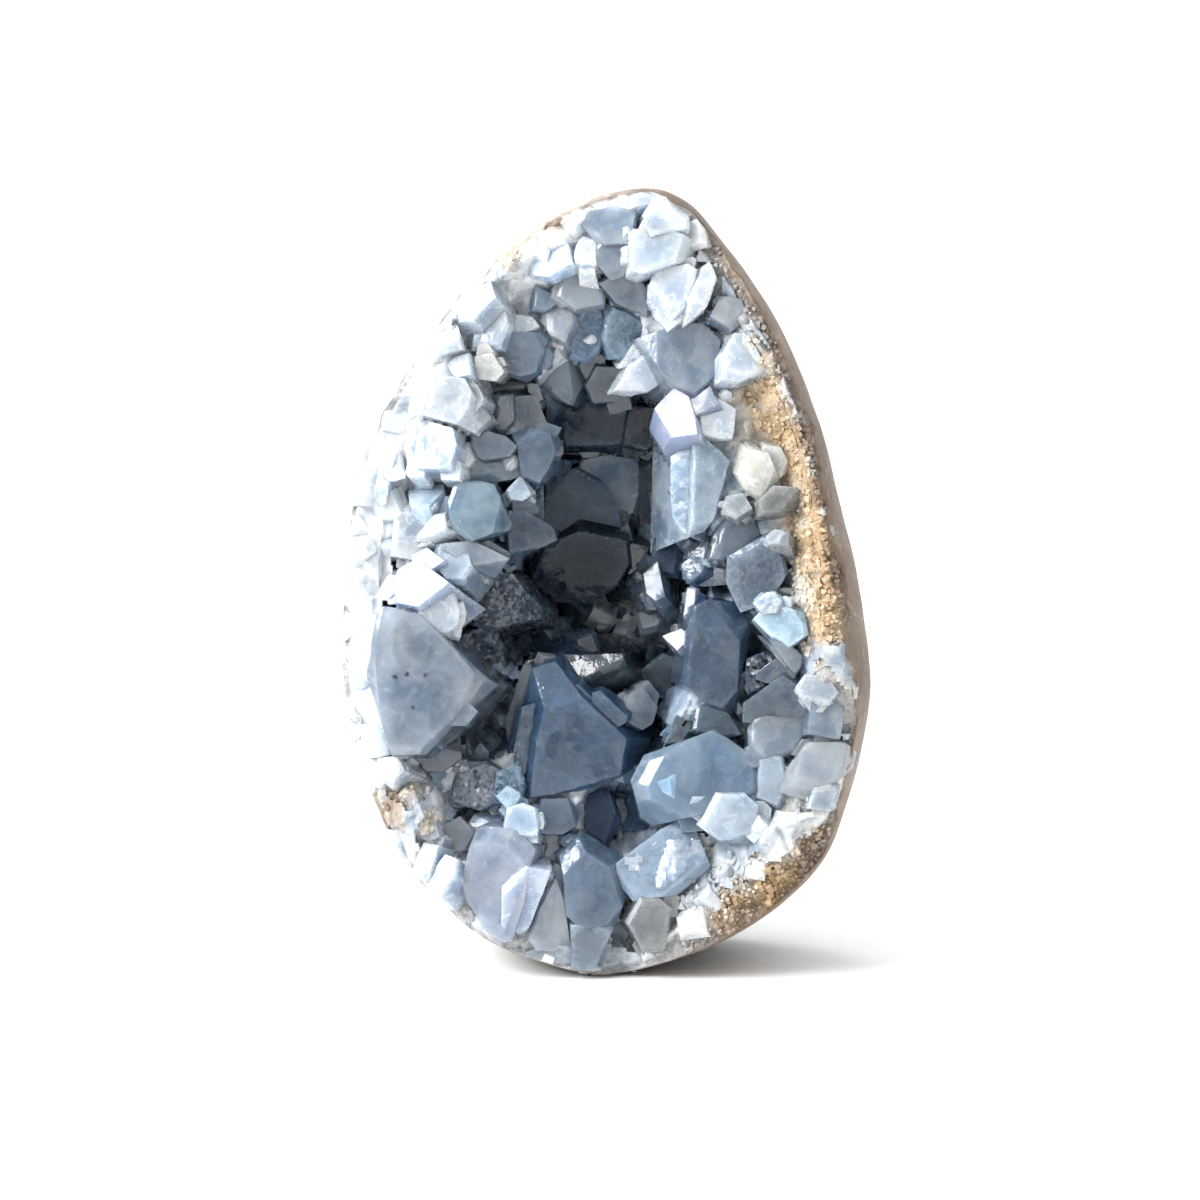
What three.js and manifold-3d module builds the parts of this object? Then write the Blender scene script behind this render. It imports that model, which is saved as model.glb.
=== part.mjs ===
// Celestite geode, egg-shaped, standing on a small flat spot with its opening to -Y.
// Sizes in millimetres. The stone is laid out upright first, with x to the right, z up along its
// long axis and y going back from the plane of its widest outline. The whole stone then leans back
// and moves until the middle of its flat spot is at the origin.
import * as THREE from "three";
import { ConvexHull } from "three/addons/math/ConvexHull.js";
import { mergeVertices } from "three/addons/utils/BufferGeometryUtils.js";
import Module from "manifold-3d";

const wasm = await Module();
wasm.setup();

// ---- driving dimensions ----
const MIDDLE = new THREE.Vector2(0, 57); // centre of the egg outline
const LEAN_BACK = THREE.MathUtils.degToRad(5); // how far the stone leans back on its flat spot
const BACK_DEPTH = 34; // widest outline to the back of the egg
const FRONT_DEPTH = 33; // widest outline to where the front of the egg would be
const BACK_FULLNESS = 2.1; // superellipse power of the back, fuller towards the base
const FRONT_FULLNESS = 2.0;
const BASE_SETBACK = 18; // the base of the egg lies this far behind its widest outline
const FLAT_DEPTH = 3; // how much is ground away for the flat spot
const FLAT_MIDDLE = 11.4; // how far the middle of the flat spot lies behind the widest outline
const SEAM = 0.3; // hairline between the host rock and the crystal crust
const LINING = 3; // thinnest milky lining under the crystals
const HOLLOW = { x: -1, z: 58, halfWidth: 33, halfHeight: 53, depth: 31 }; // in the bare rock
const VOID = { x: -1, z: 63, halfWidth: 17, halfHeight: 33, depth: 30 }; // left free by the crystals
const GRID = 5.4; // spacing of the facets of the broken rock
const LINING_GRID = 7.2; // and of the milky lining
const SIDE_SLOPE = 86; // side faces of a crystal against its main face, in degrees

// Outline of the upright stone, x and z, clockwise from the tip.
const OUTLINE = [
  [7, 120], [12.8, 117.6], [17.6, 112.2], [22.2, 106], [26, 99.9], [29, 93.8],
  [31.4, 87.6], [33.5, 81.5], [35.6, 72.5], [37.9, 63.5], [39.6, 53], [40.4, 44],
  [39.4, 36], [37.2, 27], [33.6, 18], [28, 11.7], [18.6, 5.4], [9, 1.7],
  [-1, 0], [-10, 1.9], [-18.4, 5.4], [-25.9, 11.5], [-31.3, 18], [-35.8, 27],
  [-38.7, 36], [-40.2, 47], [-39.9, 58], [-38.6, 72], [-36.4, 81], [-33, 88],
  [-30, 93], [-26.4, 98.8], [-21.6, 105], [-16, 110.2], [-10, 114.8], [-3, 118.2],
];

// Rounded lumps and pits of the broken rim: x, z, radius, height towards the viewer.
const LUMPS = [
  [20.5, 106.5, 5, 1.6], [24.5, 97, 6, 1.8], [27.5, 88, 5, 1.5], [20.5, 93, 5, 2.4],
  [29, 78, 5, 1.4], [31, 66, 5, 2], [30, 58, 6, 2.2], [33, 50, 5, 1.8],
  [33, 43, 5, 1.6], [34, 30, 4, 1.5], [28, 24, 6, 1.8], [20, 19, 7, 2],
  [10, 19, 9, 3], [27, 15.5, 5, 1.2], [15, 10, 5, 1.4], [-33, 28, 5, 2.2],
  [-28, 26, 4, 2.4], [-29, 21, 4, 1.4], [-10, 108, 6, 2.4], [-17, 105, 5, 1.8],
  [-24, 98, 5, 1.6], [-34, 76, 5, 1.5], [-36, 62, 4, 1.3], [-37, 50, 4, 1.4],
  [17, 103, 4, -1.6], [26, 82, 4, -1.5], [34.5, 58, 3.4, -1.4], [24, 28, 4, -1.6],
  [2, 5, 4, -3.5], [-20, 24, 4, -2], [31, 22, 3.4, -1.2], [-30, 84, 4, -1.5],
];

// Dark pockets between the large crystals: x, z, radius, depth.
const POCKETS = [
  [-19, 40, 7, 14], [3, 25, 7, 9], [-20, 23.6, 3, 5], [9, 50, 6, 12], [23, 50, 4, 8],
  [6, 36, 4, 8], [2, 6, 3.5, 5], [-18, 53, 7, 9], [10, 68, 5, 8], [17, 60, 3, 5],
  [-14, 71, 4, 6], [2, 90, 7, 6], [-15, 89, 5, 5], [28, 29.5, 3, 4], [23, 60, 7, 4], [24, 40, 7, 4],
];

// ---- shared shapes ----
function manifoldOf(points, triangles) {
  const vertProperties = new Float32Array(points.flatMap((p) => [p.x, p.y, p.z]));
  const triVerts = new Uint32Array(triangles.flat());
  return new wasm.Manifold(new wasm.Mesh({ numProp: 3, vertProperties, triVerts }));
}

function manifoldFrom(geometry) {
  const bare = new THREE.BufferGeometry();
  bare.setAttribute("position", geometry.getAttribute("position"));
  bare.setIndex(geometry.index);
  const merged = mergeVertices(bare, 1e-4);
  const vertProperties = new Float32Array(merged.attributes.position.array);
  const triVerts = new Uint32Array(merged.index.array);
  return new wasm.Manifold(new wasm.Mesh({ numProp: 3, vertProperties, triVerts }));
}

function geometryOf(solid) {
  const mesh = solid.getMesh();
  const geometry = new THREE.BufferGeometry();
  const stride = mesh.numProp;
  const xyz = [];
  for (let i = 0; i < mesh.vertProperties.length; i += stride) {
    xyz.push(...mesh.vertProperties.slice(i, i + 3));
  }
  geometry.setAttribute("position", new THREE.Float32BufferAttribute(xyz, 3));
  geometry.setIndex(Array.from(mesh.triVerts));
  const faceted = geometry.toNonIndexed();
  faceted.computeVertexNormals();
  return faceted;
}

function unite(solids) {
  let queue = solids;
  while (queue.length > 1) {
    const next = [];
    for (let i = 0; i < queue.length; i += 2) {
      next.push(i + 1 < queue.length ? queue[i].add(queue[i + 1]) : queue[i]);
    }
    queue = next;
  }
  return queue[0];
}

const smooth = (a, b, t) => THREE.MathUtils.smoothstep(t, a, b);

// ---- egg ----
// The outline curve is shrunk ring by ring towards the middle while it moves back or forward.
function eggBody(shrink) {
  const curve = new THREE.CatmullRomCurve3(
    OUTLINE.map(([x, z]) => new THREE.Vector3(x, 0, z)), true, "centripetal",
  );
  const around = 48;
  const rim = curve.getSpacedPoints(around).slice(0, around);
  const depths = [-0.95, -0.75, -0.5, -0.34, -0.2, -0.09, 0, 0.14, 0.3, 0.46, 0.61, 0.74, 0.85, 0.93,
    0.98];
  const points = [];
  for (const part of depths) {
    for (const p of rim) {
      const low = 1 - smooth(0, 50, p.z);
      const power = part < 0 ? FRONT_FULLNESS + 1.6 * low : BACK_FULLNESS + 0.8 * low;
      const size = Math.pow(1 - Math.pow(Math.abs(part), power), 1 / power);
      const setback = BASE_SETBACK * low;
      const reach = part < 0 ? FRONT_DEPTH + setback : BACK_DEPTH - setback;
      const x = MIDDLE.x + (p.x - MIDDLE.x) * size;
      const z = MIDDLE.y + (p.z - MIDDLE.y) * size;
      const y = setback + part * reach;
      const inner = new THREE.Vector3(x, y, z);
      const centre = new THREE.Vector3(MIDDLE.x, 2, MIDDLE.y);
      points.push(inner.lerp(centre, shrink / inner.distanceTo(centre)));
    }
  }
  const triangles = [];
  for (let r = 0; r + 1 < depths.length; r += 1) {
    for (let i = 0; i < around; i += 1) {
      const a = r * around + i;
      const b = r * around + ((i + 1) % around);
      const c = a + around;
      const d = b + around;
      triangles.push([a, b, d], [a, d, c]);
    }
  }
  const front = points.length;
  points.push(new THREE.Vector3(MIDDLE.x, -FRONT_DEPTH + shrink, MIDDLE.y));
  const back = points.length;
  points.push(new THREE.Vector3(MIDDLE.x, BACK_DEPTH - shrink, MIDDLE.y));
  const last = (depths.length - 1) * around;
  for (let i = 0; i < around; i += 1) {
    const j = (i + 1) % around;
    triangles.push([front, j, i], [back, last + i, last + j]);
  }
  return manifoldOf(points, triangles);
}

// ---- broken front of the rock ----
function rimDepth(x, z) {
  const bulge = Math.exp(-(((x - 40) / 18) ** 2 + ((z - 55) / 26) ** 2));
  return -7 - 0.07 * x - 4.5 * bulge;
}

function bowl(shape, x, z) {
  const u = (x - shape.x) / shape.halfWidth;
  const v = (z - shape.z) / shape.halfHeight;
  return shape.depth * Math.pow(Math.max(0, 1 - u * u - v * v), 0.8);
}

function roughness(x, z) {
  const broad = Math.sin(x / 3.1 + 0.6) * Math.sin(z / 3.7 + 1.1);
  const fine = Math.sin(x / 1.9 + z / 2.3) * Math.sin(z / 1.7 - x / 2.9);
  return 0.55 * broad + 0.35 * fine;
}

// Adds rounded lumps, or hollows where the height is negative, to a depth.
function withLumps(depth, lumps, x, z) {
  let y = depth;
  for (const [lx, lz, radius, height] of lumps) {
    const near = 1 - ((x - lx) ** 2 + (z - lz) ** 2) / (radius * radius);
    if (near > 0) {
      y -= height * Math.sqrt(near);
    }
  }
  return y;
}

function rockFront(x, z) {
  const y = rimDepth(x, z) + bowl(HOLLOW, x, z) + roughness(x, z);
  return withLumps(y, LUMPS, x, z);
}

const crustBack = (x, z) => rockFront(x, z) - SEAM * 1.6;

function liningFront(x, z) {
  const between = POCKETS.map(([px, pz, radius, depth]) => [px, pz, radius, -depth]);
  const grown = withLumps(rimDepth(x, z) + 3.5 + bowl(VOID, x, z), between, x, z);
  const back = crustBack(x, z);
  return bowl(HOLLOW, x, z) > 2 ? Math.min(grown, back - LINING) : back + 2;
}

// Everything in front of a depth surface, as a block.
function frontOf(depthAt, step) {
  const columns = Math.round(92 / step);
  const rows = Math.round(134 / step);
  const points = [];
  const side = (columns + 1) * (rows + 1);
  for (const isFront of [false, true]) {
    for (let r = 0; r <= rows; r += 1) {
      for (let c = 0; c <= columns; c += 1) {
        const x = -46 + (92 * c) / columns;
        const z = -7 + (134 * r) / rows;
        points.push(new THREE.Vector3(x, isFront ? -60 : depthAt(x, z), z));
      }
    }
  }
  const triangles = [];
  const quad = (a, b, c, d) => triangles.push([a, b, c], [a, c, d]);
  for (let r = 0; r < rows; r += 1) {
    for (let c = 0; c < columns; c += 1) {
      const a = r * (columns + 1) + c;
      const b = a + 1;
      const d = a + columns + 1;
      const e = d + 1;
      quad(a, d, e, b);
      quad(a + side, b + side, e + side, d + side);
    }
  }
  for (let c = 0; c < columns; c += 1) {
    const low = c;
    const high = rows * (columns + 1) + c;
    quad(low, low + 1, low + 1 + side, low + side);
    quad(high, high + side, high + 1 + side, high + 1);
  }
  for (let r = 0; r < rows; r += 1) {
    const left = r * (columns + 1);
    const right = left + columns;
    const up = columns + 1;
    quad(left, left + side, left + up + side, left + up);
    quad(right, right + up, right + up + side, right + side);
  }
  return manifoldOf(points, triangles);
}

// ---- crystals ----
// A face direction, turned to the right and tilted up from facing the viewer.
function facing(right, up) {
  const r = THREE.MathUtils.degToRad(right);
  const u = THREE.MathUtils.degToRad(up);
  return new THREE.Vector3(Math.sin(r) * Math.cos(u), -Math.cos(r) * Math.cos(u), Math.sin(u));
}

// The convex solid behind a set of flat faces.
function facetedSolid(planes) {
  const corners = [];
  const matrix = new THREE.Matrix3();
  for (let i = 0; i < planes.length; i += 1) {
    for (let j = i + 1; j < planes.length; j += 1) {
      for (let k = j + 1; k < planes.length; k += 1) {
        const [a, b, c] = [planes[i], planes[j], planes[k]];
        const [p, q, r] = [a.normal, b.normal, c.normal];
        matrix.set(p.x, p.y, p.z, q.x, q.y, q.z, r.x, r.y, r.z);
        if (Math.abs(matrix.determinant()) < 1e-5) {
          continue;
        }
        const corner = new THREE.Vector3(-a.constant, -b.constant, -c.constant);
        corner.applyMatrix3(matrix.invert());
        const inside = planes.every((plane) => plane.distanceToPoint(corner) < 1e-5);
        if (inside && !corners.some((known) => known.distanceTo(corner) < 0.02)) {
          corners.push(corner);
        }
      }
    }
  }
  const hull = new ConvexHull().setFromPoints(corners);
  const triangles = hull.faces.map((face) => {
    const { edge } = face;
    return [edge, edge.next, edge.prev].map((e) => corners.indexOf(e.head().point));
  });
  return manifoldOf(corners, triangles);
}

// A crystal that shows one main face. depth is where the middle of that face lies, right and up turn
// it, thick is how far the crystal goes back, corners run round the face in x and z, and each bevel
// [edge, slope, width] lays a face along one edge that falls back at its slope from the main face.
function crystal(depth, right, up, thick, corners, bevels = []) {
  const normal = facing(right, up);
  const middle = new THREE.Vector3();
  corners.forEach(([x, z]) => middle.add(new THREE.Vector3(x / corners.length, 0, z / corners.length)));
  middle.y = depth;
  const main = new THREE.Plane().setFromNormalAndCoplanarPoint(normal, middle);
  const raised = corners.map(([x, z]) => {
    const y = middle.y - (normal.x * (x - middle.x) + normal.z * (z - middle.z)) / normal.y;
    return new THREE.Vector3(x, y, z);
  });
  const planes = [main];
  const tilted = (slope, out) => {
    const angle = THREE.MathUtils.degToRad(slope);
    return normal.clone().multiplyScalar(Math.cos(angle)).addScaledVector(out, Math.sin(angle));
  };
  for (let i = 0; i < raised.length; i += 1) {
    const from = raised[i];
    const edge = raised[(i + 1) % raised.length].clone().sub(from).normalize();
    const out = new THREE.Vector3().crossVectors(edge, normal);
    if (out.dot(from.clone().sub(middle)) < 0) {
      out.negate();
    }
    const bevel = bevels.find(([edgeNumber]) => edgeNumber === i);
    const wall = from.clone();
    if (bevel) {
      const [, slope, width = 2.2] = bevel;
      planes.push(new THREE.Plane().setFromNormalAndCoplanarPoint(tilted(slope, out), from));
      wall.addScaledVector(out, width);
    }
    planes.push(new THREE.Plane().setFromNormalAndCoplanarPoint(tilted(SIDE_SLOPE, out), wall));
  }
  const back = normal.clone().negate();
  planes.push(new THREE.Plane().setFromNormalAndCoplanarPoint(
    back, middle.clone().addScaledVector(normal, -thick),
  ));
  return facetedSolid(planes);
}

function tipCrystals() {
  return [
    crystal(-8, -10, 30, 9, [[-3, 117], [2, 119.8], [8, 120], [7.5, 117], [4.5, 115], [-1, 115.5]]),
    crystal(-10, -8, 12, 12, [[-4, 113.5], [-1.5, 117], [4.5, 115.2], [3.4, 110.3], [-1, 110.2]]),
    crystal(-9.5, 4, -8, 14, [[-1.2, 110.5], [3.5, 110.5], [3.5, 105.8], [0.8, 104.8], [-1.6, 107.5]]),
    crystal(-11, 8, 22, 14, [[5, 113], [7.6, 117.6], [12.4, 117.5], [12.5, 112.6], [6.5, 111.2]]),
    crystal(-12, 6, 4, 15, [[3.6, 106], [3.5, 112], [6.5, 113], [11.9, 111.5], [11, 107.5], [5.2, 105.5]],
      [[3, 50]]),
    crystal(-10.5, -12, 2, 15, [[6.3, 104.4], [7, 106.5], [12, 107.4], [13.4, 106.5], [12.5, 101.5],
      [10.2, 99.8]], [[5, 55]]),
    crystal(-11, 18, 12, 12, [[12.4, 102.2], [14.3, 107], [15.6, 108], [16.6, 105], [15.2, 101],
      [13.2, 99.6]]),
    crystal(-10, 5, 5, 10, [[15.4, 99.6], [17, 102.8], [20.2, 102.2], [21.2, 99.4], [18.8, 97.6]]),
    crystal(-9, -6, 20, 9, [[-5, 109.5], [-3.6, 112], [-1.4, 111], [-1.4, 107.4], [-4.6, 107.4]]),
    crystal(-8.5, -20, 10, 9, [[-12, 106], [-10.5, 111.5], [-6, 112], [-5, 107.5], [-8.5, 105.5]]),
    crystal(-10, 12, 10, 12, [[17.5, 90.5], [17.3, 94], [19, 97.2], [22, 97], [24.4, 94.6], [23.8, 91.4],
      [20, 90]]),
  ];
}

function upperCrystals() {
  return [
    crystal(-7, 14, -12, 15, [[-0.8, 104.5], [1, 105.8], [6.8, 106], [6.6, 104], [8.8, 101], [7.4, 99.4],
      [1.5, 101.6]]),
    crystal(-4.5, 10, -10, 14, [[0.2, 101.8], [2, 101.2], [7, 98.2], [6.5, 93.6], [0.5, 93.4], [-0.5, 96.5]],
      [[1, 40]]),
    crystal(-3.5, 4, -8, 12, [[-5.6, 97], [-4.4, 100], [-0.4, 101.8], [0.4, 98], [-0.8, 94.6], [-3, 93],
      [-5.6, 93.6]]),
    crystal(-7.5, 10, 2, 16, [[7.2, 97.4], [11, 98.8], [14.6, 99], [17.2, 96.4], [16.8, 91], [13, 87.5],
      [9.6, 89.4], [7.2, 93]], [[7, 45]]),
    crystal(-3.5, 6, -24, 12, [[0.6, 87.8], [3.4, 92.2], [6.6, 95], [9.1, 92], [9, 90.6], [5.5, 88.2],
      [3, 87.4]], [[4, 60]]),
    crystal(-0.5, 0, -18, 13, [[-3.4, 89.8], [-1.6, 92.8], [2.6, 92.6], [4, 88.2], [0.6, 87],
      [-2.2, 86.8]]),
    crystal(0, -8, -5, 13, [[-9.2, 93.4], [-8, 96.8], [-5.4, 94.4], [-4.6, 88.2], [-5.2, 86.9],
      [-7.4, 87.8], [-10.8, 90.2]], [[2, 55]]),
    crystal(-5.5, -12, 16, 13, [[-10, 99.6], [-9.8, 101.2], [-7.4, 102.6], [-4.8, 101.4], [-4.6, 99.4],
      [-6.3, 96.2], [-8.6, 97.2]]),
    crystal(-5.5, -4, -6, 15, [[-16.6, 95], [-15.4, 97.6], [-10.4, 97.6], [-9, 95.6], [-10, 91.2],
      [-12, 90], [-15, 91]], [[0, 40], [2, 60]]),
    crystal(-7, -18, 8, 14, [[-20.5, 94.8], [-20.2, 99], [-16.7, 102.6], [-15, 100.8], [-14.6, 98.6],
      [-16, 95]]),
    crystal(-5, 4, 14, 12, [[-14.8, 100.6], [-11, 100], [-9.2, 97.6], [-12.5, 97], [-15.4, 97.6]]),
    crystal(-6, 10, 4, 12, [[-10.9, 101], [-10.6, 104.8], [-8, 103.4], [-7.4, 101.8], [-9, 100.6]]),
    crystal(-6.5, 8, 10, 14, [[-7.4, 103], [-6.6, 106.6], [-1.4, 107.2], [0, 104.6], [0, 101.8],
      [-4.4, 100.8]], [[2, 50]]),
    crystal(-8, -6, -4, 12, [[-20.4, 90.4], [-19.8, 93.8], [-17, 94.4], [-15.1, 91.4], [-16.4, 90]]),
    crystal(-9.5, -12, 8, 13, [[-27.6, 85], [-26.4, 88.4], [-24, 91], [-21, 90.4], [-19.4, 87.4],
      [-22.2, 83.4]], [[4, 50]]),
    crystal(-8.5, -20, 24, 11, [[-24.2, 93.2], [-20.4, 94.4], [-20, 91], [-22.6, 90.4]]),
    crystal(-9, -24, 22, 11, [[-23, 99], [-21.6, 103], [-17.2, 105], [-16.4, 102.4], [-20, 99]]),
    crystal(-1, 3, -14, 14, [[-20.4, 90.2], [-15.5, 90.4], [-11, 90.4], [-10.4, 88.4], [-19.2, 87.8]]),
  ];
}

function leftCrystals() {
  return [
    crystal(-4.5, -14, -10, 14, [[-21.2, 84.2], [-19.2, 88], [-14, 88.2], [-13.6, 84], [-15.5, 81.4],
      [-19.8, 81.8]]),
    crystal(-4.5, 6, -2, 14, [[-14.4, 88.2], [-10.4, 88.2], [-9.2, 85], [-7.7, 81], [-10.5, 80],
      [-13.8, 83.4]]),
    crystal(-6, 10, 2, 14, [[-13.8, 82.6], [-11, 83.4], [-8.4, 82.4], [-7.5, 79.8], [-8.6, 77],
      [-9.9, 74.8], [-12.6, 76]], [[2, 45], [3, 45]]),
    crystal(-7, -6, 6, 13, [[-20.4, 82], [-17.8, 82.8], [-15, 82], [-13.2, 80.4], [-14.4, 78.8],
      [-18.5, 78.2], [-20.2, 79.4]]),
    crystal(-5, 4, -6, 12, [[-22.2, 77.5], [-20, 79], [-13, 79.6], [-11.8, 76], [-17.4, 74.8],
      [-21.8, 75]]),
    crystal(-9.5, -16, 14, 12, [[-28.8, 78.2], [-28, 83], [-26, 84], [-22.7, 83], [-22.2, 80.4],
      [-23.2, 76.8], [-28.4, 77]]),
    crystal(-7, -10, 8, 10, [[-24, 76.5], [-22.4, 80], [-20.2, 81.6], [-19.8, 78.4], [-21.8, 75.4]]),
    crystal(-9.5, -4, 5, 15, [[-23.8, 71.4], [-22.6, 75], [-19.5, 75.4], [-16.6, 74.6], [-15.2, 71.2],
      [-16, 67.6], [-20.3, 66], [-23.6, 68.4]], [[4, 45]]),
    crystal(-9, 4, -9, 15, [[-25.6, 65.6], [-24, 68.4], [-20, 66.4], [-15.4, 68], [-14.1, 63.2],
      [-15, 61.4], [-19.9, 62.1], [-23.5, 64]], [[5, 50]]),
    crystal(-6.5, 16, 2, 12, [[-14.6, 70.8], [-12, 70.8], [-7.2, 68], [-6.7, 66.6], [-7.4, 65.2],
      [-10.8, 64.6], [-14.4, 62.8]], [[4, 50]]),
    crystal(-7, -8, 10, 11, [[-32.4, 64], [-32, 70], [-30.4, 70.8], [-27.4, 70.6], [-26, 66],
      [-28.4, 63.2]]),
    crystal(-9, -20, 20, 10, [[-29.4, 66.8], [-28.8, 69.2], [-25.4, 70.4], [-24.2, 71.8], [-23.8, 68.2],
      [-27, 66.6]]),
    crystal(-9, -10, 12, 11, [[-26.4, 63.4], [-25.4, 65.8], [-21, 66.2], [-19.8, 62.3], [-21.4, 60],
      [-23.4, 60]]),
    crystal(-10.5, -20, 20, 12, [[-31.6, 61.8], [-28, 63.6], [-23.2, 60], [-27.8, 56.4], [-31.8, 57.2]]),
    crystal(-10, 8, -6, 13, [[-28, 56.4], [-24.5, 59.6], [-22.6, 59], [-21.6, 56], [-22, 53.8],
      [-24.5, 51.8], [-27.6, 52.2]], [[4, 45]]),
    crystal(-11.5, -5, 3, 17, [[-35.2, 50], [-33.9, 56.6], [-28, 55.6], [-24.4, 52.2], [-18.6, 45.8],
      [-24.8, 36.8], [-27, 34.6], [-31.8, 34.4], [-34.2, 41.5]], [[3, 60], [4, 55], [8, 50]]),
    crystal(-7.5, -25, 8, 10, [[-38.8, 49], [-38.4, 58], [-35, 58], [-34, 50], [-35, 45], [-38, 44]]),
    crystal(-8.5, -12, 0, 9, [[-34.8, 36.6], [-33.6, 38.2], [-31.9, 35], [-34, 34.2]]),
    crystal(-10, -18, 14, 11, [[-34.6, 31], [-34, 34], [-31, 34.2], [-30, 32.2], [-32.4, 29.8]]),
    crystal(-3, 5, -10, 13, [[-30.6, 34.2], [-25, 36], [-22, 36.4], [-21.6, 33], [-24, 31.2],
      [-28, 31.4]]),
    crystal(1, -10, 4, 14, [[-21.5, 54], [-21.5, 60], [-20, 62.4], [-14, 61.4], [-12.4, 59], [-13.4, 54],
      [-17.5, 52.6]], [[4, 40]]),
    crystal(3, -4, -12, 12, [[-22, 52], [-17.5, 54], [-15.6, 50], [-15.2, 46], [-17, 44.6],
      [-20.5, 46]]),
    crystal(-6, 10, 18, 8, [[-14.9, 74], [-13, 76], [-11.4, 75.2], [-10.3, 74], [-12.4, 72.2],
      [-14.3, 72.4]]),
  ];
}

function deepCrystals() {
  return [
    crystal(10, 6, 16, 14, [[-10, 68], [-9.6, 75], [-5, 78], [0, 75.2], [2.6, 70.5], [3.6, 66],
      [-4, 64.5]], [[2, 50]]),
    crystal(8, -2, -22, 14, [[-12.4, 60.4], [-10, 65.6], [-4, 68], [3.4, 66.5], [4, 62], [2.5, 59.6],
      [-2, 56.6], [-8, 57]], [[4, 40]]),
    crystal(13, 4, 8, 10, [[-4.8, 76.5], [-3.8, 79.4], [0.5, 80.2], [5, 79.4], [5.8, 75], [3.8, 69],
      [-2, 72]], [[4, 40]]),
    crystal(10, -14, 0, 12, [[5, 79.4], [7.2, 79], [8.6, 74], [8, 68.4], [5, 68.6]]),
    crystal(9, -6, -10, 11, [[0, 66], [3.4, 69.6], [4.6, 65.4], [2.5, 61.6]]),
    crystal(4, -10, 6, 12, [[6.6, 63.4], [7.4, 67.6], [9.6, 67.4], [11.8, 64.4], [11, 60.6], [8, 61.6]]),
    crystal(2, -20, 22, 9, [[5.6, 61.4], [7.9, 63.4], [9, 58], [7.5, 57.2], [6.1, 58.4]]),
    crystal(6, -8, 10, 12, [[5.2, 46.5], [8.5, 49.4], [12.4, 47.8], [12.8, 43.6], [9.5, 41.8],
      [6.6, 43]]),
    crystal(3, 5, 10, 11, [[1, 22], [3, 27.6], [5.2, 27.8], [9.2, 25.4], [6.2, 22.2]]),
    crystal(0, 0, 14, 10, [[-5, 23], [-3, 28], [1, 28.6], [2.4, 24], [0, 20]]),
    crystal(10.5, 0, -12, 9, [[-8, 80.5], [-8.5, 87], [-2, 88.4], [3.5, 87], [2.5, 81]], [[4, 50]]),
    crystal(8, -12, -8, 10, [[2.5, 81], [3.5, 87.6], [8, 87], [9.4, 82.6], [6, 80]]),
    crystal(8, 14, -6, 12, [[-15.4, 70], [-14, 74], [-9.6, 75.4], [-9.4, 68.4], [-12, 66]]),
  ];
}

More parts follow.
